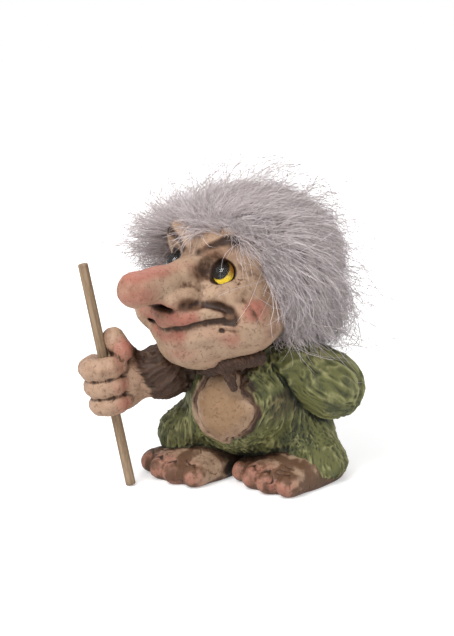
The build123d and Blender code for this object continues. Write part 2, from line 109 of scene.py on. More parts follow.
def lattice_value(cells: Array, seed: int) -> Array:
    """A repeatable random number for each whole-numbered cell.

    The three cell numbers and the seed are multiplied by large odd numbers, added, and mixed
    by two shifts and a product in 32 bits.

    Args:
        cells: Whole numbers, three for each point.
        seed: Another number gives another pattern.

    Returns:
        Numbers from -1 to 1.
    """
    whole = cells.astype(np.int64).astype(np.uint32)
    mixed = whole[..., 0] * np.uint32(374761393) + whole[..., 1] * np.uint32(668265263)
    mixed = mixed + whole[..., 2] * np.uint32(2246822519) + np.uint32(seed * 3266489 + 97)
    mixed = (mixed ^ (mixed >> np.uint32(13))) * np.uint32(1274126177)
    mixed = mixed ^ (mixed >> np.uint32(16))
    return mixed.astype(np.float32) / np.float32(2147483647.5) - 1.0


def noise(points: Array, size: float, seed: int = 0) -> Array:
    """Smooth noise in space: random numbers at the corners of cubes, blended inside them.

    The blend along each edge of a cube follows 3t^2 - 2t^3.

    Args:
        points: Places in millimetres.
        size: Edge of the cubes in millimetres.
        seed: Another number gives another pattern.

    Returns:
        Numbers from about -1 to 1, one for each point.
    """
    scaled = points / size
    cell = np.floor(scaled)
    share = (scaled - cell).astype(np.float32)
    share = share * share * (3.0 - 2.0 * share)
    total = np.zeros(points.shape[:-1], np.float32)
    for corner in range(8):
        offset = np.array([corner & 1, corner >> 1 & 1, corner >> 2 & 1], np.float32)
        weight = np.prod(np.where(offset > 0, share, 1.0 - share), axis=-1)
        total += weight * lattice_value(cell + offset, seed)
    return total


def noise_vector(points: Array, size: float, seed: int) -> Array:
    """Three separate noises at each point, as a vector."""
    return np.stack([noise(points, size, seed + axis) for axis in range(3)], axis=-1)


def layered_noise(points: Array, size: float, seed: int) -> Array:
    """Three layers of noise, each with half the size and half the height of the one before.

    Args:
        points: Places in millimetres.
        size: Width of the widest lumps.
        seed: Another number gives another pattern.

    Returns:
        Numbers from about -1.75 to 1.75.
    """
    total = np.zeros(points.shape[:-1], np.float32)
    for layer in range(3):
        total += noise(points, size / 2**layer, seed + layer) / 2**layer
    return total


def wandering(points: Array, size: float, reach: float, seed: int) -> Array:
    """The points, each pushed up to reach along every axis by slow noise."""
    return points + reach * noise_vector(points, size, seed)


def way_at(turn: float, up: float) -> Array:
    """The direction that is turned from -Y towards +X and then raised, both in degrees."""
    angle, height = math.radians(turn), math.radians(up)
    flat = math.cos(height)
    return np.array([math.sin(angle) * flat, -math.cos(angle) * flat, math.sin(height)])


def circle_ways(spokes: int, across: Array, upright: Array) -> Array:
    """Directions all round: the cosine of each spoke's angle across, and its sine upright."""
    angles = np.linspace(0.0, 2 * math.pi, spokes, endpoint=False)[:, None]
    return np.cos(angles) * across + np.sin(angles) * upright


def ring_grid(rows: int, columns: int) -> tuple[Array, Array, Array]:
    """The point numbers of rows of rings, those of the next point round, and the faces.

    Args:
        rows: How many rings there are.
        columns: How many points each ring has.

    Returns:
        Numbers in rows of rings twice, and four numbers for each face.
    """
    index = np.arange(rows * columns).reshape(rows, columns)
    after = np.roll(index, -1, axis=1)
    quads = np.stack([index[:-1], after[:-1], after[1:], index[1:]], axis=-1).reshape(-1, 4)
    return index, after, quads


def turned_over(faces: Sequence[Array]) -> list[Array]:
    """Faces with their other side outwards: the first corner stays and the rest run back."""
    return [np.roll(part[:, ::-1], 1, axis=1) for part in faces]


def capped_faces(rows: int, columns: int) -> list[Array]:
    """Faces of rings that are closed by a point at either end.

    The points come ring by ring, then the end before the first ring and the end after the
    last.

    Args:
        rows: How many rings there are.
        columns: How many points each ring has.

    Returns:
        The four-sided faces between the rings, and the two fans of triangles.
    """
    index, after, quads = ring_grid(rows, columns)
    first = np.stack([np.full(columns, rows * columns), after[0], index[0]], axis=-1)
    last = np.stack([np.full(columns, rows * columns + 1), index[-1], after[-1]], axis=-1)
    return [quads, first, last]


# Clay: solids that are known by the distance to their skin


def smooth_least(first: Array, second: Array, blend: float) -> Array:
    """The lesser of two distances, with the corner between them rounded over blend.

    Args:
        first: One distance.
        second: The other.
        blend: Width of the rounding.

    Returns:
        The joined distance.
    """
    if blend <= 0:
        return np.minimum(first, second)
    share = np.clip(0.5 + 0.5 * (second - first) / blend, 0.0, 1.0)
    return second + (first - second) * share - blend * share * (1.0 - share)


@dataclass(frozen=True)
class Egg:
    """An ellipsoid with its half sizes along the axes."""

    centre: Point
    radii: Point

    def on(self, side: Side) -> "Egg":
        """An egg that is written for the left, on the side asked for."""
        return Egg((side.value * self.centre[0], *self.centre[1:]), self.radii)

    def distance(self, points: Array) -> Array:
        """Distance to the skin, near it: k(k - 1)/g.

        k is the length of the place divided by the half sizes, and g the length of the place
        divided by their squares.

        Args:
            points: Places in millimetres.

        Returns:
            Distances in millimetres, negative inside.
        """
        place = points - np.array(self.centre, np.float32)
        radii = np.array(self.radii, np.float32)
        scaled = np.linalg.norm(place / radii, axis=-1)
        slope = np.linalg.norm(place / (radii * radii), axis=-1) + 1e-9
        return scaled * (scaled - 1.0) / slope


@dataclass(frozen=True)
class Roll:
    """A rolled coil of clay through points, with a radius at each point."""

    points: Path
    radii: Sequence[float]
    blend: float = 1.0

    def distance(self, points: Array) -> Array:
        """Distance to each straight run less its radius there, smoothly joined run by run.

        Args:
            points: Places in millimetres.

        Returns:
            Distances in millimetres, negative inside.
        """
        total: Optional[Array] = None
        for step in range(len(self.points) - 1):
            start = np.array(self.points[step], np.float32)
            run = np.array(self.points[step + 1], np.float32) - start
            share = np.clip(((points - start) @ run) / float(run @ run), 0.0, 1.0)
            radius = self.radii[step] + (self.radii[step + 1] - self.radii[step]) * share
            away = np.linalg.norm(points - (start + share[..., None] * run), axis=-1) - radius
            total = away if total is None else smooth_least(total, away, self.blend)
        return total


Shape = Union[Egg, Roll]


@dataclass
class Clay:
    """A lump built up by adding and carving simple shapes in turn.

    The shapes are turned about the upright axis by turned degrees, and cut flat at the height
    floor. A step says whether its shape is added, and over how many millimetres it blends in.
    """

    turned: float = 0.0
    floor: Optional[float] = None
    steps: list[tuple[bool, Shape, float]] = field(default_factory=list)

    def add(self, shape: Shape, blend: float = 0.0) -> None:
        """Presses a shape on, its edge smoothed over blend millimetres."""
        self.steps.append((True, shape, blend))

    def carve(self, shape: Shape, blend: float = 0.0) -> None:
        """Cuts a shape away, the rim smoothed over blend millimetres."""
        self.steps.append((False, shape, blend))

    def distance(self, points: Array) -> Array:
        """Distance to the lump's skin, negative inside, after every step in turn.

        Args:
            points: Places in millimetres.

        Returns:
            Distances in millimetres, negative inside.
        """
        place = points @ turn_about_z(self.turned) if self.turned else points
        total: Optional[Array] = None
        for added, shape, blend in self.steps:
            away = shape.distance(place)
            if total is None:
                total = away
            elif added:
                total = smooth_least(total, away, blend)
            else:
                total = -smooth_least(-total, away, blend)
        if self.floor is not None:
            total = np.maximum(total, self.floor - points[..., 2])
        return total


def skin_of(clay: Clay, low: Point, high: Point, voxel: float) -> tuple[Array, Array]:
    """The skin of a lump of clay as points and four-sided faces that point outwards.

    The distance is worked out in the middle of coarse blocks first, and then at every voxel of
    the blocks that the skin can pass through. The skin is where the distance is zero.

    Args:
        clay: The lump.
        low: Lowest corner of the space to search, in millimetres.
        high: Highest corner of that space.
        voxel: Edge of a voxel in millimetres.

    Returns:
        The points in millimetres, and four point numbers for each face.
    """
    fine = 4
    block = voxel * fine
    low_corner = np.array(low, np.float32)
    counts = np.ceil((np.array(high) - low_corner) / block).astype(int)
    axes = [low_corner[axis] + block * (np.arange(counts[axis], dtype=np.float32) + 0.5) for axis in range(3)]
    coarse = clay.distance(np.stack(np.meshgrid(*axes, indexing="ij"), axis=-1)).astype(np.float32)
    grid = np.repeat(np.repeat(np.repeat(coarse, fine, 0), fine, 1), fine, 2)
    blocks = grid.reshape(counts[0], fine, counts[1], fine, counts[2], fine).transpose(0, 2, 4, 1, 3, 5)
    near = np.argwhere(np.abs(coarse) < 1.5 * block)
    inner = np.stack(np.meshgrid(*[np.arange(fine)] * 3, indexing="ij"), axis=-1).reshape(-1, 3)
    places = low_corner + voxel * (near[:, None, :] * fine + inner[None] + 0.5).astype(np.float32)
    values = clay.distance(places.reshape(-1, 3)).reshape(len(near), fine, fine, fine)
    blocks[near[:, 0], near[:, 1], near[:, 2]] = values
    volume = openvdb.FloatGrid(float(block))
    volume.copyFromArray(np.ascontiguousarray(grid))
    points, quads = volume.convertToQuads(isovalue=0.0)
    return (low_corner + voxel * (points + 0.5)).astype(np.float32), quads.astype(np.int64)


@dataclass
class Skin:
    """The skin of a casting, which can be worked over before it becomes a mesh."""

    points: Array
    quads: Array

    def normals(self) -> Array:
        """Outward directions: the faces' crossed diagonals, added up at each point."""
        corners = self.points[self.quads]
        across = np.cross(corners[:, 2] - corners[:, 0], corners[:, 3] - corners[:, 1])
        return unit(self.gather(np.repeat(across[:, None], 4, axis=1)))

    def gather(self, at_corners: Array) -> Array:
        """Adds up what the corners of the faces hold, at the points that they share.

        Args:
            at_corners: What every corner of every face holds.

        Returns:
            One row of sums for each point.
        """
        where = self.quads.ravel()
        flat = at_corners.reshape(len(where), -1)
        sums = [np.bincount(where, flat[:, i], len(self.points)) for i in range(flat.shape[1])]
        return np.stack(sums, axis=-1)

    def relaxed(self, values: Array, rounds: int) -> Array:
        """Values evened out over the skin: each round gives a point the mean of its faces.

        Args:
            values: One number or one vector for each point.
            rounds: How often it is evened out.

        Returns:
            The values after the last round.
        """
        work = values.reshape(len(values), -1).astype(np.float64)
        shares = np.bincount(self.quads.ravel(), minlength=len(self.points))[:, None]
        for _ in range(rounds):
            faces = work[self.quads].mean(axis=1)
            work = self.gather(np.repeat(faces[:, None], 4, axis=1)) / np.maximum(shares, 1)
        return work.reshape(values.shape)

    def depth(self, rounds: int) -> Array:
        """How deep each point lies in a dip: the way out to its evened place, in millimetres."""
        return np.sum((self.relaxed(self.points, rounds) - self.points) * self.normals(), axis=-1)

    def push(self, height: Array) -> None:
        """Moves every point out along its normal by its own height."""
        self.points = self.points + self.normals() * height[:, None]


# Meshes and objects


def origin_shift() -> Array:
    """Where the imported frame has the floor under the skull's middle, in metres.

    The painted discs behind the glass are a fixed way from there, so their middle gives it.
    """
    corners = [np.array(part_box(f"{side}_eye_iris")) for side in ("left", "right")]
    middle = np.mean([corner.mean(axis=0) for corner in corners], axis=0)
    eyes = EyePlace()
    return middle - MM * (eyes.seat(Side.LEFT, -eyes.disc / 2) * np.array([0.0, 1.0, 1.0]))


def mesh_object(
    name: str,
    points: Array,
    faces: Sequence[Array],
    material: Material,
    attributes: Optional[Attributes] = None,
) -> bpy.types.Object:
    """Makes one object from whole arrays of points and faces.

    Args:
        name: Name of the object and of its mesh.
        points: Places in millimetres, from the floor under the skull's middle.
        faces: Arrays of point numbers, each array with faces of one number of sides.
        material: Finish of the whole piece.
        attributes: Named numbers, one for each point, that the finish reads.

    Returns:
        The object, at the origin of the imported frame.
    """
    mesh = bpy.data.meshes.new(name)
    sides = np.concatenate([np.full(len(part), part.shape[1]) for part in faces])
    loops = np.concatenate([part.ravel() for part in faces]).astype(np.int32)
    places = (points * MM + origin_shift()).astype(np.float32)
    mesh.vertices.add(len(places))
    mesh.vertices.foreach_set("co", places.ravel())
    mesh.loops.add(len(loops))
    mesh.loops.foreach_set("vertex_index", loops)
    mesh.polygons.add(len(sides))
    mesh.polygons.foreach_set("loop_start", np.concatenate([[0], np.cumsum(sides)[:-1]]).astype(np.int32))
    mesh.polygons.foreach_set("use_smooth", np.ones(len(sides), bool))
    mesh.update(calc_edges=True)
    for label, values in (attributes or {}).items():
        layer = mesh.attributes.new(label, "FLOAT", "POINT")
        layer.data.foreach_set("value", np.ascontiguousarray(values, np.float32))
    mesh.materials.append(material)
    piece = bpy.data.objects.new(name, mesh)
    bpy.context.scene.collection.objects.link(piece)
    return piece


def fit(piece: bpy.types.Object, body: str, nodes: Sequence[str] = ()) -> None:
    """Puts a piece on its body and the nodes that it stands for.

    Args:
        piece: The piece.
        body: The body that carries it.
        nodes: Nodes of the frame that it replaces.
    """
    if nodes:
        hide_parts(*nodes)
    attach(piece, body)
    faces = sum(len(polygon.vertices) - 2 for polygon in piece.data.polygons)
    LOG.info("%s: %d triangles on %s", piece.name, faces, body)


def dress(node: str, material: Material) -> None:
    """Gives a node of the frame its finish."""
    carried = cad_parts[node]
    carried.data.materials.clear()
    carried.data.materials.append(material)
    LOG.info("%s: carried over from the frame", node)


# Shader graphs


Value = Union["Wire", Number]


class Wire:
    """One output in a shader graph. Arithmetic with it adds Math nodes."""

    def __init__(self, graph: "Graph", socket: bpy.types.NodeSocket) -> None:
        """Keeps the graph and the output."""
        self.graph = graph
        self.socket = socket

    def math(self, operation: str, *others: Value, first: bool = True) -> "Wire":
        """A Math node on this output and the others. It comes last where first is False."""
        values = (self, *others) if first else (*others, self)
        return self.graph.wire("ShaderNodeMath", {"operation": operation}, dict(enumerate(values)))

    def __add__(self, other: Value) -> "Wire":
        """The sum."""
        return self.math("ADD", other)

    def __radd__(self, other: Number) -> "Wire":
        """The sum, with the number first."""
        return self.math("ADD", other)

    def __sub__(self, other: Value) -> "Wire":
        """The difference."""
        return self.math("SUBTRACT", other)

    def __rsub__(self, other: Number) -> "Wire":
        """The number less this."""
        return self.math("SUBTRACT", other, first=False)

    def __mul__(self, other: Value) -> "Wire":
        """The product."""
        return self.math("MULTIPLY", other)

    def __rmul__(self, other: Number) -> "Wire":
        """The product, with the number first."""
        return self.math("MULTIPLY", other)

    def between(self, low: float, high: float) -> "Wire":
        """A smooth step from 0 at low to 1 at high."""
        limits = {"Value": self, "From Min": low, "From Max": high}
        return self.graph.wire("ShaderNodeMapRange", {"interpolation_type": "SMOOTHSTEP"}, limits)


class Graph:
    """The shader graph of a material or of the world, built up by short calls."""

    def __init__(self, name: str, world: bool = False) -> None:
        """Makes an empty material or an empty world.

        Args:
            name: Name of the material or world.
            world: Whether it is a world.
        """
        self.owner = (bpy.data.worlds if world else bpy.data.materials).new(name)
        self.owner.use_nodes = True
        self.tree = self.owner.node_tree
        self.tree.nodes.clear()

    def node(
        self, kind: str, settings: Optional[dict] = None, values: Optional[dict] = None
    ) -> bpy.types.Node:
        """Adds any node.

        Args:
            kind: Blender's name of the node type.
            settings: Its properties.
            values: Its inputs by name or number: a wire is linked, anything else is set.

        Returns:
            The node.
        """
        made = self.tree.nodes.new(kind)
        for label, setting in (settings or {}).items():
            setattr(made, label, setting)
        for label, value in (values or {}).items():
            if isinstance(value, Wire):
                self.tree.links.new(value.socket, made.inputs[label])
            elif isinstance(value, tuple) and len(value) == 3 and made.inputs[label].type == "RGBA":
                made.inputs[label].default_value = (*value, 1.0)
            else:
                made.inputs[label].default_value = value
        return made

    def wire(
        self,
        kind: str,
        settings: Optional[dict] = None,
        values: Optional[dict] = None,
        output: "int | str" = 0,
    ) -> Wire:
        """Adds any node as above, and returns its output of this name or number."""
        return Wire(self, self.node(kind, settings, values).outputs[output])

    def attribute(self, name: str) -> Wire:
        """A number that the mesh holds at each point."""
        return self.wire("ShaderNodeAttribute", {"attribute_name": name}, None, "Fac")

    def place(self, stretch: Point = (1.0, 1.0, 1.0)) -> Wire:
        """Object coordinates, divided by stretch along each axis."""
        source = self.wire("ShaderNodeTexCoord", output="Object")
        return self.wire("ShaderNodeVectorMath", {"operation": "DIVIDE"}, {0: source, 1: stretch})

    def noise(
        self, size: float, detail: float, place: Optional[Wire] = None, warp: float = 0.0
    ) -> Wire:
        """Noise from 0 to 1 whose lumps are size millimetres wide.

        Args:
            size: Width of the widest lumps.
            detail: How many finer layers lie on them.
            place: Coordinates, if they aren't the plain ones.
            warp: How far the pattern is pulled about by itself.

        Returns:
            The noise.
        """
        values = {
            "Vector": place or self.place(),
            "Scale": 1.0 / (size * MM),
            "Detail": detail,
            "Distortion": warp,
        }
        return self.wire("ShaderNodeTexNoise", None, values, "Fac")

    def spots(self, size: float) -> Wire:
        """Distance to the nearest of scattered points, in shares of their spacing."""
        values = {"Vector": self.place(), "Scale": 1.0 / (size * MM)}
        return self.wire("ShaderNodeTexVoronoi", None, values, "Distance")

    def mix(self, under: "Wire | Colour", over: "Wire | Colour", share: Value) -> Wire:
        """One colour over another, by a share from 0 to 1."""
        return self.wire("ShaderNodeMix", {"data_type": "RGBA"}, {0: share, 6: under, 7: over}, 2)

    def bump(
        self, height: Wire, depth: float, under: Optional[Wire] = None, strength: float = 1.0
    ) -> Wire:
        """Relief of a height from 0 to 1, depth millimetres deep, on top of other relief.

        Args:
            height: The relief.
            depth: Its depth.
            under: Relief that lies under it.
            strength: The share of it that shows.

        Returns:
            The bent normal.
        """
        values = {"Height": height, "Distance": depth * MM, "Strength": strength}
        if under:
            values["Normal"] = under
        return self.wire("ShaderNodeBump", None, values)

    def backdrop_rays(self) -> Wire:
        """1 for the rays that are to see a white backdrop: straight, mirrored or through glass."""
        paths = self.node("ShaderNodeLightPath").outputs
        straight, mirrored_ray, through = (
            Wire(self, paths[f"Is {kind} Ray"]) for kind in ("Camera", "Glossy", "Transmission")
        )
        return straight.math("MAXIMUM", mirrored_ray).math("MAXIMUM", through)

    def principled(self, values: dict) -> Material:
        """Ends the graph in a Principled surface with these inputs, and returns the material."""
        return self.finish(self.wire("ShaderNodeBsdfPrincipled", None, values))

    def finish(self, surface: Wire, output: str = "ShaderNodeOutputMaterial") -> bpy.types.ID:
        """Links a surface to the output node, and returns the material or the world."""
        self.node(output, None, {"Surface": surface})
        return self.owner


# Finishes


@dataclass(frozen=True)
class CastPaint:
    """Brushed paint on the castings: flesh, fur, dry ridges, and a dark wash in the hollows that also carries
    painted shade there.
    """

    cream: Colour = (0.40, 0.272, 0.184)
    cream_shade: Colour = (0.215, 0.13, 0.082)
    pink: Colour = (0.34, 0.125, 0.09)
    tan: Colour = (0.255, 0.148, 0.072)
    olive: Colour = (0.125, 0.128, 0.044)
    olive_deep: Colour = (0.055, 0.06, 0.026)
    straw: Colour = (0.30, 0.29, 0.13)
    umber: Colour = (0.036, 0.018, 0.011)
    umber_light: Colour = (0.105, 0.052, 0.028)
    fur_wash_and_shade: Colour = (0.018, 0.02, 0.017)
    roughness: float = 0.56

    def material(self) -> Material:
        """Reads the masks coat, brown, blush, tanned, stain_and_shade, wash and ridge of the mesh."""
        graph = Graph("cast_paint")
        cloud = graph.noise(7.0, 4.0, warp=0.4)
        brush = graph.noise(1.1, 4.0, graph.place((1.0, 1.0, 2.4)), warp=0.6)
        grit = graph.noise(0.42, 2.0)
        flesh = graph.mix(self.cream_shade, self.cream, cloud.between(0.22, 0.56))
        flesh = graph.mix(flesh, self.tan, graph.attribute("tanned") * (0.55 + 0.45 * brush))
        blush = graph.attribute("blush") * (0.45 + 0.8 * brush)
        flesh = graph.mix(flesh, self.pink, blush.between(0.0, 1.0))
        dirt = graph.noise(1.5, 5.0, warp=0.9).between(0.52, 0.70) * 0.55
        flesh = graph.mix(flesh, self.umber_light, dirt)
        # Brown stains, and painted shade in the eye sockets and at the temples from the head's mask.
        stain_and_shade = (graph.attribute("stain_and_shade") * (0.55 + 0.9 * brush)).between(0.1, 0.95)
        flesh = graph.mix(flesh, self.umber_light, stain_and_shade * 0.92)
        shade = graph.noise(9.0, 3.0, warp=0.5)
        fur = graph.mix(self.olive_deep, self.olive, (shade * 0.75 + brush * 0.25).between(0.36, 0.56))
        ridge = (graph.attribute("ridge") * (0.25 + 0.6 * brush + 0.7 * shade)).between(0.25, 0.95)
        fur = graph.mix(fur, self.straw, ridge)
        pelt = graph.mix(self.umber, self.umber_light, ridge)
        colour = graph.mix(flesh, fur, graph.attribute("coat"))
        colour = graph.mix(colour, pelt, graph.attribute("brown"))
        # Dark paint wash and painted shade in hollows and between parts: umber on flesh, near black on fur.
        dark = graph.mix(self.umber, self.fur_wash_and_shade, graph.attribute("coat"))
        wash = graph.attribute("wash") * (0.7 + 0.6 * brush)
        soft = graph.mix(self.umber_light, self.fur_wash_and_shade, graph.attribute("coat"))
        colour = graph.mix(colour, soft, wash.between(0.05, 0.55) * 0.7)
        colour = graph.mix(colour, dark, wash.between(0.35, 1.05))
        dots = 1.0 - graph.spots(1.5).between(0.07, 0.16)
        dots = dots * graph.noise(5.0, 1.0).between(0.5, 0.62)
        colour = graph.mix(colour, self.umber, dots * 0.75)
        relief = graph.bump(brush, 0.16, strength=0.8)
        relief = graph.bump(grit, 0.06, relief, 0.7)
        return graph.principled({
            "Base Color": colour,
            "Roughness": self.roughness - 0.12 + 0.24 * grit,
            "Normal": relief,
            "Specular IOR Level": 0.24,
            "Coat Weight": 0.02,
            "Coat Roughness": 0.35,
        })


@dataclass(frozen=True)
class WigFibre:
    """Lavender-grey wig fibre, paler on some strands, darker towards the tips, and darker at the roots as
    painted shade deep in the mass.
    """

    pale: Colour = (0.77, 0.69, 0.695)
    grey: Colour = (0.42, 0.36, 0.365)
    tip: Colour = (0.13, 0.09, 0.07)
    root: Colour = (0.34, 0.29, 0.285)
    roughness: float = 0.42

    def material(self) -> Material:
        """Reads shade, a number for each strand, and along, from 0 at the root to 1 at the tip."""
        graph = Graph("wig_fibre")
        along = graph.attribute("along")
        shade = graph.attribute("shade")
        streak = graph.noise(0.8, 2.0, graph.place((1.0, 1.0, 4.0)))
        colour = graph.mix(self.grey, self.pale, (shade * 0.8 + streak * 0.3).between(0.15, 0.85))
        # Painted shade: darker near the roots, deep inside the hair.
        colour = graph.mix(colour, self.root, (1.0 - along.between(0.0, 0.35)) * 0.6)
        colour = graph.mix(colour, self.tip, along.between(0.80, 1.0) * shade.between(0.45, 1.0) * 0.7)
        colour = graph.mix(colour, self.tip, graph.attribute("stray") * along.between(0.3, 0.8) * shade)
        return graph.principled({
            "Base Color": colour,
            "Roughness": self.roughness + 0.15 * streak,
            "Specular IOR Level": 0.5,
            "Sheen Weight": 0.15,
            "Normal": graph.bump(streak, 0.02),
        })


@dataclass(frozen=True)
class UnderHair:
    """The dense inner pile that shows between the strands, darker than their fibre as painted shade inside
    the hair.
    """

    pale: Colour = (0.46, 0.405, 0.405)
    deep: Colour = (0.19, 0.16, 0.158)

    def material(self) -> Material:
        """Reads streak, which is high on the mesh's own ridges. The grooves between them take the deep
        colour, painted shade.
        """
        graph = Graph("under_hair_shade")
        fine = graph.noise(0.35, 3.0, graph.place((1.0, 1.0, 5.0)), warp=0.3)
        # Painted shade: darker in the grooves of the pile.
        share = (graph.attribute("streak") * 0.6 + fine * 0.5).between(0.2, 0.85)
        return graph.principled({
            "Base Color": graph.mix(self.deep, self.pale, share),
            "Roughness": 0.6 + 0.2 * fine,
            "Normal": graph.bump(fine, 0.2),
            "Sheen Weight": 0.2,
        })


@dataclass(frozen=True)
class EyeGlass:
    """Clear polished glass with a trace of amber."""

    tint: Colour = (1.0, 0.93, 0.74)
    clear: Colour = (1.0, 0.98, 0.9)
    haze: float = 0.015
    refraction: float = 1.38

    def material(self) -> Material:
        """Smooth clear glass, its polish broken by the faintest haze."""
        graph = Graph("eye_glass")
        haze = graph.noise(1.2, 2.0)
        return graph.principled({
            "Base Color": graph.mix(self.tint, self.clear, haze.between(0.3, 0.7)),
            "Roughness": self.haze * haze,
            "IOR": self.refraction,
            "Specular IOR Level": 0.22,
            "Transmission Weight": 1.0,
        })


@dataclass(frozen=True)
class EyePaint:
    """The painted disc behind the glass: black pupil, amber iris with painted shade above and painted light
    below, and dark rim.
    """

    pupil: Colour = (0.004, 0.004, 0.006)
    amber: Colour = (0.20, 0.085, 0.006)
    lit_gold: Colour = (0.80, 0.60, 0.05)
    rim: Colour = (0.02, 0.012, 0.006)

    def material(self) -> Material:
        """Reads around, the share of the disc's radius, pupil, the same from the pupil, and low, which rises
        from the disc's top to its foot. The iris is amber at the top, painted shade under the lid, and lit
        gold at the foot, painted light.
        """
        graph = Graph("eye_paint")
        out = graph.attribute("around")
        fleck = graph.noise(0.5, 3.0)
        # Painted shade at the top of the iris and painted light at its foot.
        iris = graph.mix(self.amber, self.lit_gold, (graph.attribute("low") + 0.4 * fleck).between(0.55, 0.95))
        colour = graph.mix(self.pupil, iris, (graph.attribute("pupil") + 0.05 * fleck).between(0.64, 0.72))
        colour = graph.mix(colour, self.rim, out.between(0.90, 0.97))
        return graph.principled({
            "Base Color": colour,
            "Roughness": 0.55 + 0.1 * fleck,
            "Specular IOR Level": 0.15,
            "Normal": graph.bump(fleck, 0.03),
        })


@dataclass(frozen=True)
class DowelWood:
    """Plain pale dowel with fine grain along it and a little handling grime."""

    pale: Colour = (0.345, 0.25, 0.16)
    dark: Colour = (0.195, 0.125, 0.072)
    grime: Colour = (0.17, 0.11, 0.07)

    def material(self) -> Material:
        """Reads grain, pores and worn from the mesh, which follow the stick's own length."""
        graph = Graph("dowel_wood")
        fine = graph.noise(0.5, 4.0, graph.place((1.0, 1.0, 9.0)))
        share = (graph.attribute("grain") * 0.55 + fine * 0.6).between(0.2, 0.9)
        colour = graph.mix(self.dark, self.pale, share)
        colour = graph.mix(colour, self.grime, graph.attribute("pores") * 0.6)
        colour = graph.mix(colour, self.grime, graph.attribute("worn") * 0.45)
        return graph.principled({
            "Base Color": colour,
            "Roughness": 0.62 + 0.2 * fine,
            "Normal": graph.bump(fine, 0.06),
            "Specular IOR Level": 0.35,
        })


@dataclass(frozen=True)
class DrawnWire:
    """Drawn steel wire."""

    dull: Colour = (0.45, 0.45, 0.46)
    bright: Colour = (0.62, 0.62, 0.63)

    def material(self) -> Material:
        """Grey metal with fine scratches along the wire."""
        graph = Graph("drawn_wire")
        scratch = graph.noise(0.2, 2.0, graph.place((1.0, 6.0, 1.0)))
        return graph.principled({
            "Base Color": graph.mix(self.dull, self.bright, scratch),
            "Metallic": 1.0,
            "Roughness": 0.3 + 0.2 * scratch,
            "Normal": graph.bump(scratch, 0.02),
        })


@dataclass(frozen=True)
class BackingCloth:
    """The woven cap that the hair is knotted into."""

    hollow: Colour = (0.09, 0.085, 0.09)
    thread: Colour = (0.2, 0.19, 0.2)
    threads: float = 90.0

    def material(self) -> Material:
        """Two crossed sets of threads, each a wave across the other's way."""
        graph = Graph("backing_cloth")
        values = {"Vector": graph.place(), "Scale": self.threads, "Distortion": 0.6}
        warp, weft = (
            graph.wire("ShaderNodeTexWave", {"bands_direction": way}, values, "Fac") for way in "XZ"
        )
        weave = warp.math("MAXIMUM", weft)
        return graph.principled({
            "Base Color": graph.mix(self.hollow, self.thread, weave),
            "Roughness": 0.85 + 0.1 * weave,
            "Normal": graph.bump(weave, 0.15),
        })


@dataclass(frozen=True)
class StudioFloor:
    """A pale floor that looks white to the camera and keeps the shadow."""

    colour: Colour = (0.80, 0.80, 0.80)
    lift: float = 0.34
    far_lift: float = 0.5

    def material(self) -> Material:
        """A matte surface, with a glow that grows with the way from the origin and lights nothing."""
        graph = Graph("studio_floor")
        matte = graph.wire("ShaderNodeBsdfDiffuse", None, {"Color": self.colour})
        away = graph.wire("ShaderNodeVectorMath", {"operation": "LENGTH"}, {0: graph.place()}, "Value")
        lift = self.lift + self.far_lift * away.between(0.08, 0.5)
        glow = graph.wire("ShaderNodeEmission", None, {"Strength": graph.backdrop_rays() * lift})
        return graph.finish(graph.wire("ShaderNodeAddShader", None, {0: matte, 1: glow}))


# Fur, skin folds, and the dark wash with its painted shade


@dataclass(frozen=True)
class FurRelief:
    """Locks of modelled fur: long ridges along a flow, with hollows between them."""

    flow: Point = (0.0, 0.0, -1.0)
    width: float = 1.6
    length: float = 5.5
    seed: int = 11

    def locks(self, points: Array) -> Array:
        """How high the fur stands, from 0 in a hollow to 1 on a ridge.

        The points wander by slow noise and are squeezed along the flow. A ridge is one less
        the size of the noise there, a wide set of ridges and a fine set together.

        Args:
            points: Places in millimetres.

        Returns:
            A height for each point.
        """
        flow = unit(np.array(self.flow, np.float32))
        bent = wandering(points, 13.0, 4.5, self.seed + 31)
        along = bent @ flow
        squeezed = bent - flow * (along * (1.0 - 1.0 / self.length))[:, None]
        wide = 1.0 - np.abs(noise(squeezed, self.width * 1.5, self.seed)) * 1.9
        fine = 1.0 - np.abs(noise(squeezed, self.width * 0.62, self.seed + 5)) * 1.9
        return np.clip(0.55 * wide + 0.45 * fine, 0.0, 1.0)


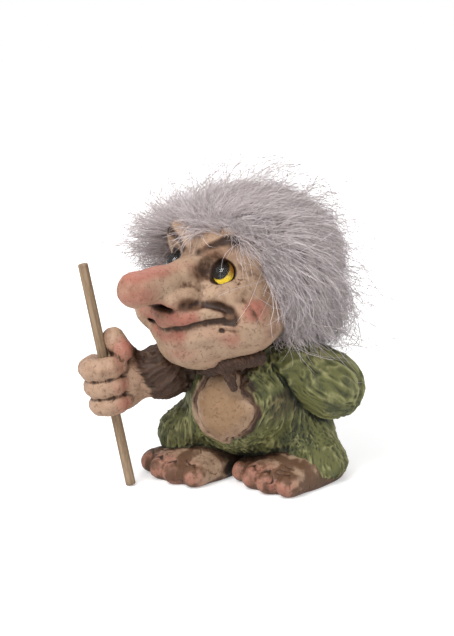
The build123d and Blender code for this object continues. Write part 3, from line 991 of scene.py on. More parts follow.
@dataclass
class Casting:
    """A cast piece: its clay, and the space and the voxel in which its skin is looked for."""

    name: str
    slot: Slot
    nodes: Sequence[str]
    clay: Clay
    low: Point
    high: Point
    voxel: float
    reach: float = 3.5

    def skin(self) -> Skin:
        """The bare skin of the clay, evened once to take off the voxel steps."""
        skin = Skin(*skin_of(self.clay, self.low, self.high, self.voxel))
        skin.points = skin.relaxed(skin.points, 1)
        return skin

    def wash(self, skin: Skin, whole: Distance, fine: float, wide: float) -> Array:
        """The dark paint wash in the hollows, together with painted shade there.

        It adds the depth of narrow and of wide dips, each over its own measure, and how shut
        in the place is: 1 less the distance from the figure of a point reach further out, over
        reach. That last part is painted shade where the figure closes in, also between castings.

        Args:
            skin: The finished skin.
            whole: Distance to the whole figure.
            fine: Depth in millimetres that fills a narrow dip.
            wide: Depth in millimetres that fills a wide dip.

        Returns:
            Numbers from 0 to 1.
        """
        narrow = np.clip(skin.depth(4) / fine, 0.0, 1.0)
        broad = np.clip(skin.depth(30) / wide, 0.0, 1.0)
        outside = (skin.points + skin.normals() * self.reach).astype(np.float32)
        # Painted shade: darker where the figure closes in, also where one casting meets another.
        shut = rise(np.clip(1.0 - whole(outside) / self.reach, 0.0, 1.0), 0.35, 1.0)
        return np.clip(0.75 * narrow + 0.7 * broad + 0.8 * shut, 0.0, 1.0)

    def make(self, skin: Skin, masks: Attributes, paint: Material) -> None:
        """Makes the piece from the finished skin and its masks.

        Args:
            skin: The finished skin.
            masks: Its masks by name. One that is left out is blank.
            paint: The castings' finish.
        """
        blank = np.zeros(len(skin.points), np.float32)
        names = ("coat", "brown", "blush", "tanned", "stain_and_shade", "wash", "ridge")
        full = {name: masks.get(name, blank) for name in names}
        piece = mesh_object(self.name, skin.points, [skin.quads], paint, full)
        fit(piece, BODY, self.nodes)


def mirrored(points: Path, side: Side) -> list[Point]:
    """Points written for the left, moved to the side asked for."""
    return [(side.value * x, y, z) for x, y, z in points]


def across_middle(half: Path) -> list[Point]:
    """Points from the left to the middle, carried on to the right as their mirror image."""
    return [*half, *mirrored(half[-2::-1], Side.RIGHT)]


def near_path(points: Array, path: Path, reach: float) -> Array:
    """1 on a path, falling smoothly to 0 at reach from it."""
    away = Roll(path, [0.0] * len(path), 0.0).distance(points)
    return rise(away, reach, 0.0)


def near_spot(points: Array, centre: Point, radii: Point) -> Array:
    """1 in the middle of an egg-shaped spot, falling smoothly to 0 at its edge."""
    place = (points - np.array(centre, np.float32)) / np.array(radii, np.float32)
    return rise(np.linalg.norm(place, axis=-1), 1.0, 0.0)


# The castings


SKULL = Egg((0, 0, 86), (31, 30, 27))
MUZZLE = Egg((0, -17, 72), (26.5, 26, 20.5))
CHEEK = Egg((19, -21, 72), (12, 13.5, 13))


@dataclass
class Head:
    """Skull, muzzle, long nose, lips, brows and eye sockets.

    Runs of points are written from the root to the tip of the nose, across the left eye, or
    from the left to the middle of the mouth. Eggs off the middle are written for the left.
    """

    chin: Egg = Egg((0, -27, 61), (15.5, 17, 10.8))
    forehead: Roll = Roll(((0, -14, 103), (0, -25, 93)), (8, 7.5))
    nose_wing: Egg = Egg((6.4, -43, 81.6), (4.8, 8.0, 3.9))
    nostril: Egg = Egg((4.6, -47.5, 76.8), (1.7, 2.4, 1.5))
    cheekbone: Egg = Egg((16, -29.5, 82), (7.5, 5.5, 4.5))
    right_bulge: Egg = Egg((-13.5, -38.5, 73.5), (8.0, 7.5, 7.5))
    eye_socket: Egg = Egg((12.2, -34.0, 92.4), (7.0, 7.0, 6.8))
    lip_corner: Egg = Egg((20.7, -36.0, 70.4), (1.3, 1.5, 1.1))
    lip_pit: Path = ((20.7, -36, 70.4), (25.2, -33.0, 70.2))
    nose: Path = ((0, -21, 89), (0, -35, 87.3), (0, -49, 86.8), (0, -60.2, 86.8))
    laugh: Path = ((25.3, -28.6, 81.8), (28.0, -27.2, 79.5), (29.8, -26.2, 76.2), (30.4, -25.5, 73))
    ridge: Path = ((5, -25, 99.5), (13, -24, 101.0), (22, -17, 97.5))
    lid: Path = ((7.2, -32.0, 85.6), (13, -32.0, 84.2), (19, -28.3, 85.8))
    brow: Path = (
        (4.2, -32.6, 97.6), (5.9, -32.2, 98.4), (8.7, -30.6, 99.9),
        (13.3, -30.0, 102.2), (16.5, -28.2, 103.5), (19.5, -25.8, 103.6),
    )
    slit: Path = (
        (24.3, -33.0, 73.7), (22.0, -35.2, 74.0), (17.0, -39.8, 73.5), (8.0, -44.6, 70.4),
        (0.0, -47.0, 68.4),
    )
    fold: Path = (
        (10.5, -45.5, 80.2), (12.8, -42.4, 80.2), (15, -38.6, 79.6),
        (19, -35.4, 79.2), (22.6, -33.4, 77.6), (24.3, -32.4, 75.4),
    )
    upper_lip: Path = ((20.5, -34.6, 77.2), (15.5, -39.2, 77.0), (8, -43.6, 75.0), (0, -45.0, 73.2))
    lower_lip: Path = ((18.5, -34.0, 70.0), (14, -37.4, 68.2), (8, -40.2, 66.2), (0, -42.2, 65.4))
    socket_gap: float = 0.45

    def clay(self) -> Clay:
        """The whole head: skull, muzzle, chin and forehead, and then the features on them."""
        clay = Clay()
        clay.add(SKULL)
        clay.add(MUZZLE, 8)
        clay.add(self.chin, 6)
        clay.add(self.forehead, 6)
        self.add_nose(clay)
        for side in Side:
            self.add_cheek(clay, side)
            self.add_eye_seat(clay, side)
        self.add_mouth(clay)
        return clay

    def add_nose(self, clay: Clay) -> None:
        """The long straight nose with its ball and wings."""
        clay.add(Roll(self.nose, [7.6, 6.5, 6.3, 6.9], 3), 3.5)
        for side in Side:
            clay.add(self.nose_wing.on(side), 2.6)
            clay.carve(self.nostril.on(side), 1.0)

    def add_cheek(self, clay: Clay, side: Side) -> None:
        """A full cheek with a fold of laughter in it. The right cheek bulges beside the lips.

        Args:
            clay: The head so far.
            side: Which side.
        """
        clay.add(CHEEK.on(side), 6)
        clay.add(self.cheekbone.on(side), 4)
        if side is Side.RIGHT:
            clay.add(self.right_bulge, 4)
        clay.carve(Roll(mirrored(self.laugh, side), [0.4, 0.7, 0.7, 0.3], 0.5), 1.5)

    def add_eye_seat(self, clay: Clay, side: Side) -> None:
        """Brow ridge, socket, the crease over the lid, the lower lid and the hole for the eye.

        Args:
            clay: The head so far.
            side: Which side.
        """
        eyes = EyePlace()
        clay.add(Roll(mirrored(self.ridge, side), [4.2, 5.2, 4.6], 2), 6)
        clay.carve(self.eye_socket.on(side), 2.2)
        clay.carve(Roll(mirrored(self.brow, side), [0.6, 0.9, 1.0, 1.0, 0.9, 0.6]), 0.9)
        clay.add(Roll(mirrored(self.lid, side), [1.0, 1.6, 1.0]), 2.4)
        middle = tuple(eyes.seat(side, eyes.socket_ahead))
        clay.carve(Egg(middle, (eyes.radius + self.socket_gap,) * 3), 0.4)

    def add_mouth(self, clay: Clay) -> None:
        """The two lips, the slit between them, and the folds and pits at its corners.

        Args:
            clay: The head so far.
        """
        upper, lower = across_middle(self.upper_lip), across_middle(self.lower_lip)
        slit = across_middle(self.slit)
        clay.add(Roll(upper, [1.8, 2.6, 3.2, 3.4, 3.2, 2.6, 1.8], 2), 2)
        clay.add(Roll(lower, [1.8, 2.8, 3.2, 3.4, 3.2, 2.8, 1.8], 2), 3)
        clay.carve(Roll(slit, [0.8, 1.7, 1.3, 0.9, 0.8, 0.9, 1.3, 1.7, 0.8], 0.6), 0.7)
        for side in Side:
            clay.carve(Roll(mirrored(self.fold, side), [0.6, 1.0, 1.2, 1.2, 1.1, 0.8], 1), 2.2)
            clay.carve(self.lip_corner.on(side), 0.7)
            clay.carve(Roll(mirrored(self.lip_pit, side), [0.7, 0.5]), 0.8)

    def build(self, whole: Distance, paint: Material) -> None:
        """Sculpts and paints the head, with wrinkles over the brows and beside the eyes.

        Args:
            whole: Distance to the whole figure.
            paint: The castings' finish.
        """
        space = {"low": (-34, -69, 48), "high": (34, 33, 116), "voxel": 0.50}
        casting = Casting("head_casting", Slot.FLESH, ["head"], self.clay(), **space)
        skin = casting.skin()
        points = skin.points
        height = 0.20 * layered_noise(points, 6.0, 3) + 0.08 * layered_noise(points, 1.7, 7)
        wrinkle = 1.0 - np.abs(noise(wandering(points, 6.0, 2.0, 40) * [1, 1, 2.2], 3.4, 9)) * 5.0
        height -= 0.16 * np.clip(wrinkle, 0.0, 1.0) * near_spot(points, (0, -26, 104), (24, 14, 14))
        crow = np.abs(noise(wandering(points, 3.0, 0.8, 44) * [0.7, 0.7, 2.4], 2.6, 46)) * 6.0
        beside = sum(near_spot(points, (side.value * 21, -27, 88), (7, 7, 7)) for side in Side)
        height -= 0.22 * np.clip(1.0 - crow, 0.0, 1.0) * beside
        skin.push(height)
        casting.make(skin, self.masks(casting, skin, whole), paint)

    def masks(self, casting: Casting, skin: Skin, whole: Distance) -> Attributes:
        """Blushes on nose, lips and cheeks, and a dark wash in the folds, with painted shade in the eye
        sockets, the mouth and the folds.

        Args:
            casting: The head's casting.
            skin: The finished skin.
            whole: Distance to the whole figure.

        Returns:
            The masks by name.
        """
        points = skin.points
        y, z = points[:, 1], points[:, 2]
        tip = rise(y, -50, -63) * rise(z, 79, 85)
        cap = rise(y, -32, -46) * rise(z, 89.5, 93.5)
        under = near_spot(points, (0, -47, 79.5), (13, 14, 6))
        lip = near_path(points, [(-12, -44, 75), (0, -49, 72), (12, -44, 75)], 6.0)
        lower = near_path(points, [(-7, -43, 67), (0, -46, 66), (7, -43, 67)], 4.5)
        cheeks = sum(near_spot(points, (side.value * 28.5, -26, 78), (6, 8, 8)) for side in Side)
        chin = near_spot(points, (4, -41, 60), (13, 9, 7)) + near_spot(points, (22, -32, 66), (8, 7, 6))
        warm = 0.30 * rise(noise(points, 7.0, 49), -0.2, 0.5)
        blush = 0.55 * tip + 0.7 * cap + 0.9 * under + 0.8 * lip + 0.8 * lower + 0.9 * cheeks
        blush = np.clip(blush + 0.6 * chin + warm, 0, 1)
        wash = casting.wash(skin, whole, fine=0.16, wide=1.5)
        speckle = 0.5 + 0.5 * noise(points, 1.6, 47)
        stain_and_shade = 0.6 * near_spot(points, (2, -34, 62), (24, 14, 9)) * speckle
        # Dark paint and painted shade in the slit between the lips.
        wash = wash + 1.8 * near_path(points, across_middle(self.slit), 1.7)
        eyes = EyePlace()
        for side in Side:
            inner = near_spot(points, (side.value * 7.2, -32, 91.0), (5.5, 7, 8.0))
            socket = near_spot(points, (side.value * 12.5, -31, 93.5), (8.5, 7, 8.0))
            temple = near_spot(points, (side.value * 17, -26, 101.5), (7, 7, 4.5))
            laugh = near_spot(points, (side.value * 29, -26.5, 76.5), (2.4, 4, 5))
            wing = near_spot(points, (side.value * 9, -43, 79), (7, 6, 4))
            fold = mirrored(self.fold, side)
            # Painted shade in the eye sockets, beside the eyes and under the brow ends, darkest along the
            # brow crease, in the laugh folds and at the mouth's corners, over the dark paint wash.
            wash = wash + (0.75 * inner + 0.75 * socket + 0.7 * temple) * (0.5 + 0.7 * speckle)
            wash = wash + 1.7 * near_path(points, mirrored(self.brow, side), 2.7)
            wash = wash + 0.7 * laugh * speckle
            wash = wash + 1.6 * near_path(points, mirrored(self.slit[:3], side), 2.3)
            wash = wash + 0.45 * near_path(points, fold, 2.0) * (0.4 + speckle)
            # Painted shade on the wall of the hole round each glass eye.
            hole = np.linalg.norm(points - eyes.seat(side, eyes.socket_ahead), axis=-1)
            wash = wash + rise(hole, eyes.radius + 1.5, eyes.radius + 0.7)
            # Brown along the fold from the nose and on the nose wing, and painted shade in the eye sockets
            # and at the temples.
            stain_and_shade = stain_and_shade + 1.3 * near_path(points, fold, 4.4) * rise(y, -30, -32)
            stain_and_shade = stain_and_shade + 0.25 * wing * speckle + 0.8 * inner + 0.6 * socket + 0.5 * temple
        # Painted shade beside the nose on the far side of the muzzle.
        far = near_spot(points, (-13, -38, 76), (5, 6, 7))
        wash = np.clip(wash + 0.6 * far, 0, 1)
        return {"blush": blush, "wash": wash * rise(y, 20, -4), "stain_and_shade": np.clip(stain_and_shade, 0, 1)}


@dataclass
class Torso:
    """Furry trunk and legs, with the bare belly and its rolls of skin.

    The shapes are written in the trunk's own frame, its front along -Y.
    """

    trunk: Egg = Egg((0, 0, 37), (25.5, 23, 23))
    paunch: Egg = Egg((0, -9.5, 34.5), (19.5, 20.0, 19.5))
    shoulders: Egg = Egg((0, 2, 51), (25.5, 16, 12))
    left_leg: Roll = Roll(((11, 3, 30), (20, 6, 18), (24.2, 2.8, 10)), (12.5, 12.6, 13.6), 4)
    left_cuff: Egg = Egg((25.4, 3.4, 6), (15.2, 16.5, 8))
    right_leg: Roll = Roll(((-8, -4, 28), (-19, -4, 20.5), (-25.8, -3.3, 15)), (12, 10.6, 11.4), 4)
    seat: Egg = Egg((0, 0, 17), (21, 14, 10))
    hem: float = 0.9
    yaw: float = 27.0
    belly_turn: float = -5.0
    belly_height: float = 35.6
    belly_half_width: float = 11.8
    belly_half_height: float = 14.0
    lowest: float = 0.2

    def clay(self) -> Clay:
        """Trunk, shoulders and the two legs, ending at the hem just over the floor."""
        clay = Clay(turned=self.yaw, floor=self.hem)
        clay.add(self.trunk)
        clay.add(self.paunch, 6)
        clay.add(self.shoulders, 8)
        clay.add(self.left_leg, 5)
        clay.add(self.left_cuff, 3)
        clay.add(self.right_leg, 4)
        clay.add(self.seat, 5)
        return clay

    def own_frame(self, points: Array) -> Array:
        """The points in the trunk's own frame, its front along -Y."""
        return points @ turn_about_z(self.yaw)

    def belly(self, points: Array) -> tuple[Array, Array]:
        """The belly's oval: 1 on its edge, and which points are on the front.

        Args:
            points: Places in millimetres.

        Returns:
            Both numbers for each point.
        """
        place = points @ turn_about_z(self.yaw + self.belly_turn)
        across = place[:, 0] / self.belly_half_width
        up = (place[:, 2] - self.belly_height) / self.belly_half_height
        narrow = 1.0 - 0.16 * np.clip(up, 0.0, 1.0)
        uneven = 0.13 * layered_noise(points, 7.0, 27)
        return np.hypot(across / narrow, up) + uneven, rise(place[:, 1], -8.0, -16.0)

    def build(self, whole: Distance, paint: Material) -> None:
        """Sculpts and paints the trunk.

        Args:
            whole: Distance to the whole figure.
            paint: The castings' finish.
        """
        space = {"low": (-44, -36, 0), "high": (44, 40, 66), "voxel": 0.46}
        casting = Casting("torso_casting", Slot.FUR, ["torso"], self.clay(), **space)
        skin = casting.skin()
        locks = FurRelief(seed=21).locks(skin.points)
        skin.push(self.relief(skin.points, locks))
        skin.points[:, 2] = np.maximum(skin.points[:, 2], self.lowest)
        casting.make(skin, self.masks(casting, skin, locks, whole), paint)

    def beside_belly(self, place: Array) -> Array:
        """1 on the side of the right arm, where the bare skin reaches further, and 0 beyond."""
        return rise(place[:, 0], 2.0, -7.0)

    def relief(self, points: Array, locks: Array) -> Array:
        """Height of the skin: fur, the belly's pad with its groove and roll, and fine lumps.

        The groove and the roll are bell curves over the belly's oval.

        Args:
            points: Places in millimetres.
            locks: Height of the fur there, from 0 to 1.

        Returns:
            Millimetres outwards.
        """
        oval, front = self.belly(points)
        aside = self.beside_belly(self.own_frame(points))
        bare = rise(oval, 1.14 + 0.18 * aside, 1.05) * front
        pad = 0.7 * rise(oval, 1.0, 0.70) * front
        patchy = 0.6 + 0.5 * noise(points, 5.0, 29)
        groove = -1.0 * np.exp(-((oval - 1.05) / 0.055) ** 2) * front * patchy
        roll = 0.9 * np.exp(-((oval - 1.22) / 0.10) ** 2) * front * aside
        roll = roll * rise(points[:, 2], 18, 28)
        fur = ((locks - 0.6) * 1.05 + 0.7 * noise(points, 7.0, 19)) * (1.0 - bare)
        lumps = 0.25 * layered_noise(points, 6.0, 15) + 0.08 * layered_noise(points, 1.8, 17)
        return pad + groove + roll + fur + lumps

    def masks(self, casting: Casting, skin: Skin, locks: Array, whole: Distance) -> Attributes:
        """Green fur with brown round the belly, on the chest and in patches, and the bare belly.

        Args:
            casting: The trunk's casting.
            skin: The finished skin.
            locks: Height of the fur, from 0 to 1.
            whole: Distance to the whole figure.

        Returns:
            The masks by name.
        """
        points = skin.points
        oval, front = self.belly(points)
        place = self.own_frame(points)
        aside = self.beside_belly(place)
        band = np.exp(-((oval - 1.12) / 0.085) ** 2) * front
        band = band * rise(place[:, 2] + 0.5 * place[:, 0], 20, 30)
        collar = rise(place[:, 2] + 2.0 * noise(points, 5.0, 23), 46.5, 51.5)
        collar = collar * rise(place[:, 1], 2, -8) * rise(place[:, 0], 16, 6)
        thigh = near_spot(place, (-22, -8, 16), (16, 16, 12)) * (0.5 + noise(points, 6.0, 28))
        patches = rise(noise(points, 9.0, 25), 0.15, 0.6) * rise(place[:, 2], 20, 34) + 0.9 * thigh
        coat = 1.0 - rise(oval, 1.16 + 0.20 * aside, 1.08 + 0.10 * aside) * front
        return {
            "coat": coat,
            "brown": np.clip(1.2 * band + 0.9 * collar + 0.55 * patches, 0, 1),
            "tanned": rise(oval, 1.12, 0.5) * front,
            "blush": 0.35 * near_spot(place, (0, -30, 24), (9, 8, 5)),
            "ridge": np.clip(locks * 1.2 - 0.25, 0, 1) + 0.2 * (1 - coat),
            "wash": casting.wash(skin, whole, fine=0.26, wide=1.3) * (1.0 - 0.25 * coat),
        }


@dataclass
class FurKnot:
    """The knot that ties the fur over the belly, with its three short ends.

    An end is two further points, measured from the knot, and the radii of its three points.
    """

    place: Point = (14.6, -27.4, 54.2)
    hanging: tuple[Point, Point, Point] = ((1.6, 0.4, -4.5), (3.0, 1.4, -9.0), (2.6, 2.1, 1.4))
    rightward: tuple[Point, Point, Point] = ((-6.5, -0.4, -3.0), (-14.5, 1.4, -5.5), (2.9, 2.7, 2.2))
    leftward: tuple[Point, Point, Point] = ((5.0, 3.0, 1.4), (10.0, 8.0, 3.0), (2.9, 2.8, 2.6))

    def build(self, paint: Material) -> None:
        """A small lumpy knot of rolled clay, painted as brown fur.

        Args:
            paint: The castings' finish.
        """
        x, y, z = self.place
        clay = Clay()
        clay.add(Egg(self.place, (3.9, 3.2, 3.6)))
        for (middle, tip, radii), blend in ((self.hanging, 1.0), (self.rightward, 1.2), (self.leftward, 1.2)):
            run = [(x + right, y + back, z + up) for right, back, up in ((0, 0, 0), middle, tip)]
            clay.add(Roll(run, radii), blend)
        low, high = (x - 20, y - 6, z - 16), (x + 16, y + 14, z + 9)
        casting = Casting("fur_knot", Slot.FUR, [], clay, low, high, voxel=0.3)
        skin = casting.skin()
        locks = FurRelief((0.6, 0.3, -0.7), 1.4, 3.0, seed=8).locks(skin.points)
        skin.push((locks - 0.5) * 0.9)
        masks = {
            "brown": np.ones(len(skin.points), np.float32),
            "ridge": np.clip(locks - 0.2, 0, 1),
            # Dark paint wash and painted shade in the knot's dips.
            "wash": np.clip(skin.depth(6) / 0.18, 0, 1),
        }
        casting.make(skin, masks, paint)


@dataclass
class StickPlace:
    """Where the walking stick stands and how it leans."""

    foot_x: float = -21.4
    foot_y: float = -45.2
    side_lean: float = 9.1
    front_lean: float = 6.6
    radius: float = 2.0
    length: float = 91.5

    def axis(self) -> Array:
        """Direction up the stick."""
        lean = [-math.sin(math.radians(self.side_lean)), -math.sin(math.radians(self.front_lean)), 1.0]
        return unit(np.array(lean))

    def foot(self) -> Array:
        """Middle of the lower end, whose rim touches the floor."""
        return np.array([self.foot_x, self.foot_y, self.radius * math.sqrt(1.0 - self.axis()[2] ** 2)])

    def along(self, distance: float) -> Array:
        """A point on the stick's axis."""
        return self.foot() + self.axis() * distance


@dataclass
class RightArm:
    """The sleeve and the fist that closes round the stick.

    The grip is the fist's height along the stick, and front the turn of its fingers' side from
    the X axis. A finger goes through finger_turns round the stick. The bore goes past both ends
    of the stick. Palm, thumb and wrist are written in the hand's own frame.
    """

    stick: StickPlace
    grip: float = 42.5
    front: float = -45.0
    finger_radius: float = 4.5
    finger_pitch: float = 7.5
    fingers: int = 3
    finger_turns: tuple[float, ...] = (-128, -92, -50, -10, 28, 58)
    palm: Path = ((-5, 4, 5.5), (-5, 5, 0), (-5, 4, -5.5))
    thumb: Path = ((-5, 8, 7), (-2.5, 5.2, 17), (2.4, 8.6, 12.5))
    wrist: Point = (-6, 8, -1)
    elbow: Point = (-19.5, -29, 44.5)
    shoulder: Point = (-15.0, -13.5, 46.0)
    bore_gap: float = 0.08
    past: float = 20.0

    def hand_frame(self) -> tuple[Array, Array, Array, Array]:
        """Middle of the grip, the finger side, the side across it and the way up the stick."""
        up = self.stick.axis()
        ahead = np.array([math.cos(math.radians(self.front)), math.sin(math.radians(self.front)), 0.0])
        ahead = unit(ahead - up * float(ahead @ up))
        return self.stick.along(self.grip), ahead, np.cross(up, ahead), up

    def at(self, ahead: float, across: float, rise_up: float) -> Point:
        """A point written in the hand's own frame."""
        middle, x_way, y_way, z_way = self.hand_frame()
        return tuple(middle + x_way * ahead + y_way * across + z_way * rise_up)

    def clay(self) -> Clay:
        """Palm, fingers, thumb and forearm, bored along the stick."""
        clay = Clay()
        clay.add(Roll([self.at(*place) for place in self.palm], [8.0, 9.0, 7.5], 4))
        for index in range(self.fingers):
            level = self.finger_pitch * ((self.fingers - 1) / 2 - index)
            thick = self.finger_radius - 0.3 * index
            bend = self.stick.radius + thick - 0.3
            turns = [math.radians(angle) for angle in self.finger_turns]
            path = [self.at(bend * math.cos(turn), bend * math.sin(turn), level) for turn in turns]
            clay.add(Roll(path, [thick] * 4 + [thick * 0.96, thick * 0.86], 0.8), 0.9)
        clay.add(Roll([self.at(*place) for place in self.thumb], [5.0, 4.3, 3.9], 1.5), 1.4)
        arm = [self.at(*self.wrist), self.elbow, self.shoulder]
        clay.add(Roll(arm, [8.2, 9.8, 10.5], 3), 3.5)
        bore = [tuple(self.stick.along(end)) for end in (-self.past, self.stick.length + self.past)]
        clay.carve(Roll(bore, [self.stick.radius + self.bore_gap] * 2, 0))
        return clay

    def build(self, whole: Distance, paint: Material) -> None:
        """Sculpts and paints the arm: bare to the wrist, brown fur above it.

        Args:
            whole: Distance to the whole figure.
            paint: The castings' finish.
        """
        space = {"low": (-48, -66, 24), "high": (0, 2, 68), "voxel": 0.36}
        casting = Casting("right_arm_casting", Slot.FLESH, ["right_arm"], self.clay(), **space)
        skin = casting.skin()
        points = skin.points
        wrist = np.array(self.at(*self.wrist))
        way = unit(np.array(self.shoulder) - wrist)
        up_arm = (points - wrist) @ way
        ragged = up_arm + 2.2 * noise(points, 4.0, 51) + 0.45 * (points[:, 2] - wrist[2])
        sleeve = rise(ragged, 2.2, 5.5) * rise(up_arm, -1.0, 2.5)
        locks = FurRelief(tuple(way), 2.2, 3.2, seed=61).locks(points)
        creases = 1.0 - np.abs(noise(wandering(points, 4.0, 1.5, 71), 3.2, 72)) * 6.0
        hand = 0.1 * layered_noise(points, 2.4, 73) - 0.14 * np.clip(creases, 0, 1)
        skin.push(sleeve * (locks - 0.35) * 1.7 + (1 - sleeve) * hand)
        points = skin.points
        knuckles = [self.at(5.0, 4.0, self.finger_pitch * level) for level in (-1, 0, 1)]
        tips = sum(near_spot(points, knuckle, (6, 6, 5)) for knuckle in knuckles)
        thumb = near_spot(points, self.at(2.5, 9, 13), (7, 7, 7))
        heel = near_spot(points, self.at(-6, 12, 3), (9, 9, 11))
        masks = {
            "coat": 0.35 * sleeve * rise(noise(points, 5.0, 81), 0.0, 0.5),
            "brown": 0.95 * sleeve,
            "blush": np.clip(0.25 + 1.1 * tips + 1.3 * thumb + 1.4 * heel, 0, 1),
            "ridge": np.clip(locks * 1.2 - 0.4, 0, 1),
            "wash": casting.wash(skin, whole, fine=0.14, wide=0.9),
        }
        casting.make(skin, masks, paint)


@dataclass
class LeftArm:
    """The fur sleeve that swings behind the back, with the hand at its end."""

    shoulder: Point = (20.0, 4.0, 50.0)
    elbow: Point = (30.5, 16.5, 41.0)
    wrist: Point = (20.0, 29.0, 33.0)
    palm: Point = (8.5, 5.2, 6.0)
    fingers: int = 4
    finger_pitch: float = 2.8

    def clay(self) -> Clay:
        """Upper arm, forearm and the rounded hand with four fingers."""
        sx, sy, sz = self.shoulder
        ex, ey, ez = self.elbow
        wx, wy, wz = self.wrist
        clay = Clay()
        upper = [(sx, sy, sz), (ex - 2, ey - 5, ez + 2), (ex, ey, ez - 1.5)]
        clay.add(Roll(upper, [10.4, 12.0, 12.0], 4))
        clay.add(Roll([(ex, ey, ez - 2), (wx, wy, wz)], [11.5, 8.0], 4), 4)
        clay.add(Egg((wx - 7, wy + 3, wz - 4), self.palm), 2)
        for index in range(self.fingers):
            drop = self.finger_pitch * index
            path = [(wx - 9, wy + 4, wz - drop), (wx - 16, wy + 3, wz - 1 - drop)]
            clay.add(Roll(path, [2.1, 1.8]), 0.6)
        return clay

    def build(self, whole: Distance, paint: Material) -> None:
        """Sculpts and paints the arm: green fur, with a bare hand.

        Args:
            whole: Distance to the whole figure.
            paint: The castings' finish.
        """
        space = {"low": (-2, -10, 14), "high": (47, 42, 66), "voxel": 0.40}
        casting = Casting("left_arm_casting", Slot.FUR, ["left_arm"], self.clay(), **space)
        skin = casting.skin()
        flow = unit(np.array(self.elbow) - np.array(self.shoulder))
        locks = FurRelief(tuple(flow), 2.7, 3.6, seed=91).locks(skin.points)
        bare = rise(skin.points[:, 0] + 1.5 * noise(skin.points, 3.0, 95), 15.0, 12.5)
        skin.push((1 - bare) * (locks - 0.5) * 1.3 + 0.1 * layered_noise(skin.points, 2.0, 97))
        masks = {
            "coat": 1.0 - bare,
            "ridge": np.clip(locks * 1.2 - 0.25, 0, 1),
            "blush": 0.6 * bare,
            "wash": 0.75 * casting.wash(skin, whole, fine=0.24, wide=1.2),
        }
        casting.make(skin, masks, paint)


@dataclass
class Foot:
    """A bare foot: a rounded slab with four toes and their nails.

    The half sizes are those of a toe, the instep and the ball.
    """

    side: Side
    x: float
    y: float
    toes: int = 4
    span: float = 24.5
    reach: float = 20.0
    toe_arc: float = 12.0
    toe_height: float = 4.4
    toe: Point = (4.6, 7.4, 5.0)
    instep: Point = (15.8, 19.5, 9.8)
    ball: Point = (16.3, 16.0, 9.0)

    def toe_places(self) -> list[Point]:
        """Middle of each toe, on an arc that falls back towards the outer toes."""
        places = []
        for index in range(self.toes):
            share = index / (self.toes - 1) - 0.5
            back = self.toe_arc * share * share
            places.append((self.x + share * self.span, self.y - self.reach + back, self.toe_height))
        return places

    def clay(self) -> Clay:
        """Instep, heel, ball and toes, flat on the floor."""
        clay = Clay(floor=0.0)
        clay.add(Egg((self.x, self.y + 3, 3.2), self.instep))
        clay.add(Egg((self.x, self.y - 8, 3.6), self.ball), 4)
        for x, y, z in self.toe_places():
            clay.add(Egg((x, y, z), self.toe), 2.2)
            clay.carve(Roll(self.nail_line(x, y, z), [0.4, 0.6, 0.4]), 0.5)
        return clay

    def nail_line(self, x: float, y: float, z: float) -> list[Point]:
        """The crescent behind the nail of the toe at a place."""
        return [(x - 2.4, y - 3.6, z + 4.2), (x, y - 1.8, z + 5.1), (x + 2.4, y - 3.6, z + 4.2)]

    def build(self, whole: Distance, paint: Material) -> None:
        """Sculpts and paints the foot.

        Args:
            whole: Distance to the whole figure.
            paint: The castings' finish.
        """
        label = self.side.name.lower()
        low, high = (self.x - 20, self.y - 31, -1), (self.x + 20, self.y + 25, 15)
        nodes = [f"{label}_foot"]
        casting = Casting(f"{label}_foot_casting", Slot.FLESH, nodes, self.clay(), low, high, voxel=0.36)
        skin = casting.skin()
        points = skin.points
        cracks = 1.0 - np.abs(noise(wandering(points, 5.0, 2.0, 101) * [1, 1.8, 1], 4.2, 102)) * 5.0
        cracks = cracks * rise(noise(points, 7.0, 106), 0.05, 0.4)
        lift = rise(points[:, 2], 1.2, 2.6)
        nails = 0.6 * sum(near_path(points, self.nail_line(*place), 1.5) for place in self.toe_places())
        height = 0.22 * layered_noise(points, 3.2, 103) - 0.35 * np.clip(cracks, 0, 1)
        skin.push(height * lift)
        ragged = points[:, 1] - self.y + 2.0 * noise(points, 3.5, 104)
        back = rise(ragged, -9.0, -4.0)
        patches = 1.1 * noise(points, 4.5, 107) + 0.5 * noise(points, 1.8, 108)
        wash = casting.wash(skin, whole, fine=0.11, wide=0.8) + nails
        # Painted shade low at the back of the foot, under the hem of the leg.
        wash = wash + 0.5 * back * rise(points[:, 2], 9, 5)
        masks = {
            "coat": 0.8 * back * rise(noise(points, 4.0, 105), -0.3, 0.4),
            "blush": np.clip(0.75 * rise(points[:, 1] - self.y, -12.0, -24.0), 0, 1),
            "wash": np.clip(wash, 0, 1),
            # Browner in patches, more at the back under the leg and towards the floor.
            "stain_and_shade": np.clip(0.35 * back + 0.58 + 0.45 * rise(points[:, 2], 4, 0.5) + patches, 0, 1),
            "ridge": np.full(len(points), 0.4, np.float32),
        }
        casting.make(skin, masks, paint)


# Eyes


@dataclass
class EyePlace:
    """Seats of the two glass eyes and the way that they look."""

    spread: float = 13.0
    forward: float = 26.5
    height: float = 89.5
    up: float = 22.0
    out: float = 10.0
    radius: float = 4.5
    disc: float = 0.5
    socket_ahead: float = 1.6

    def look(self, side: Side) -> Array:
        """Direction of the eye's axis."""
        return way_at(side.value * self.out, self.up)

    def seat(self, side: Side, ahead: float) -> Array:
        """A point on the eye's axis, ahead of the flat back of the glass."""
        return np.array([side.value * self.spread, -self.forward, self.height]) + self.look(side) * ahead


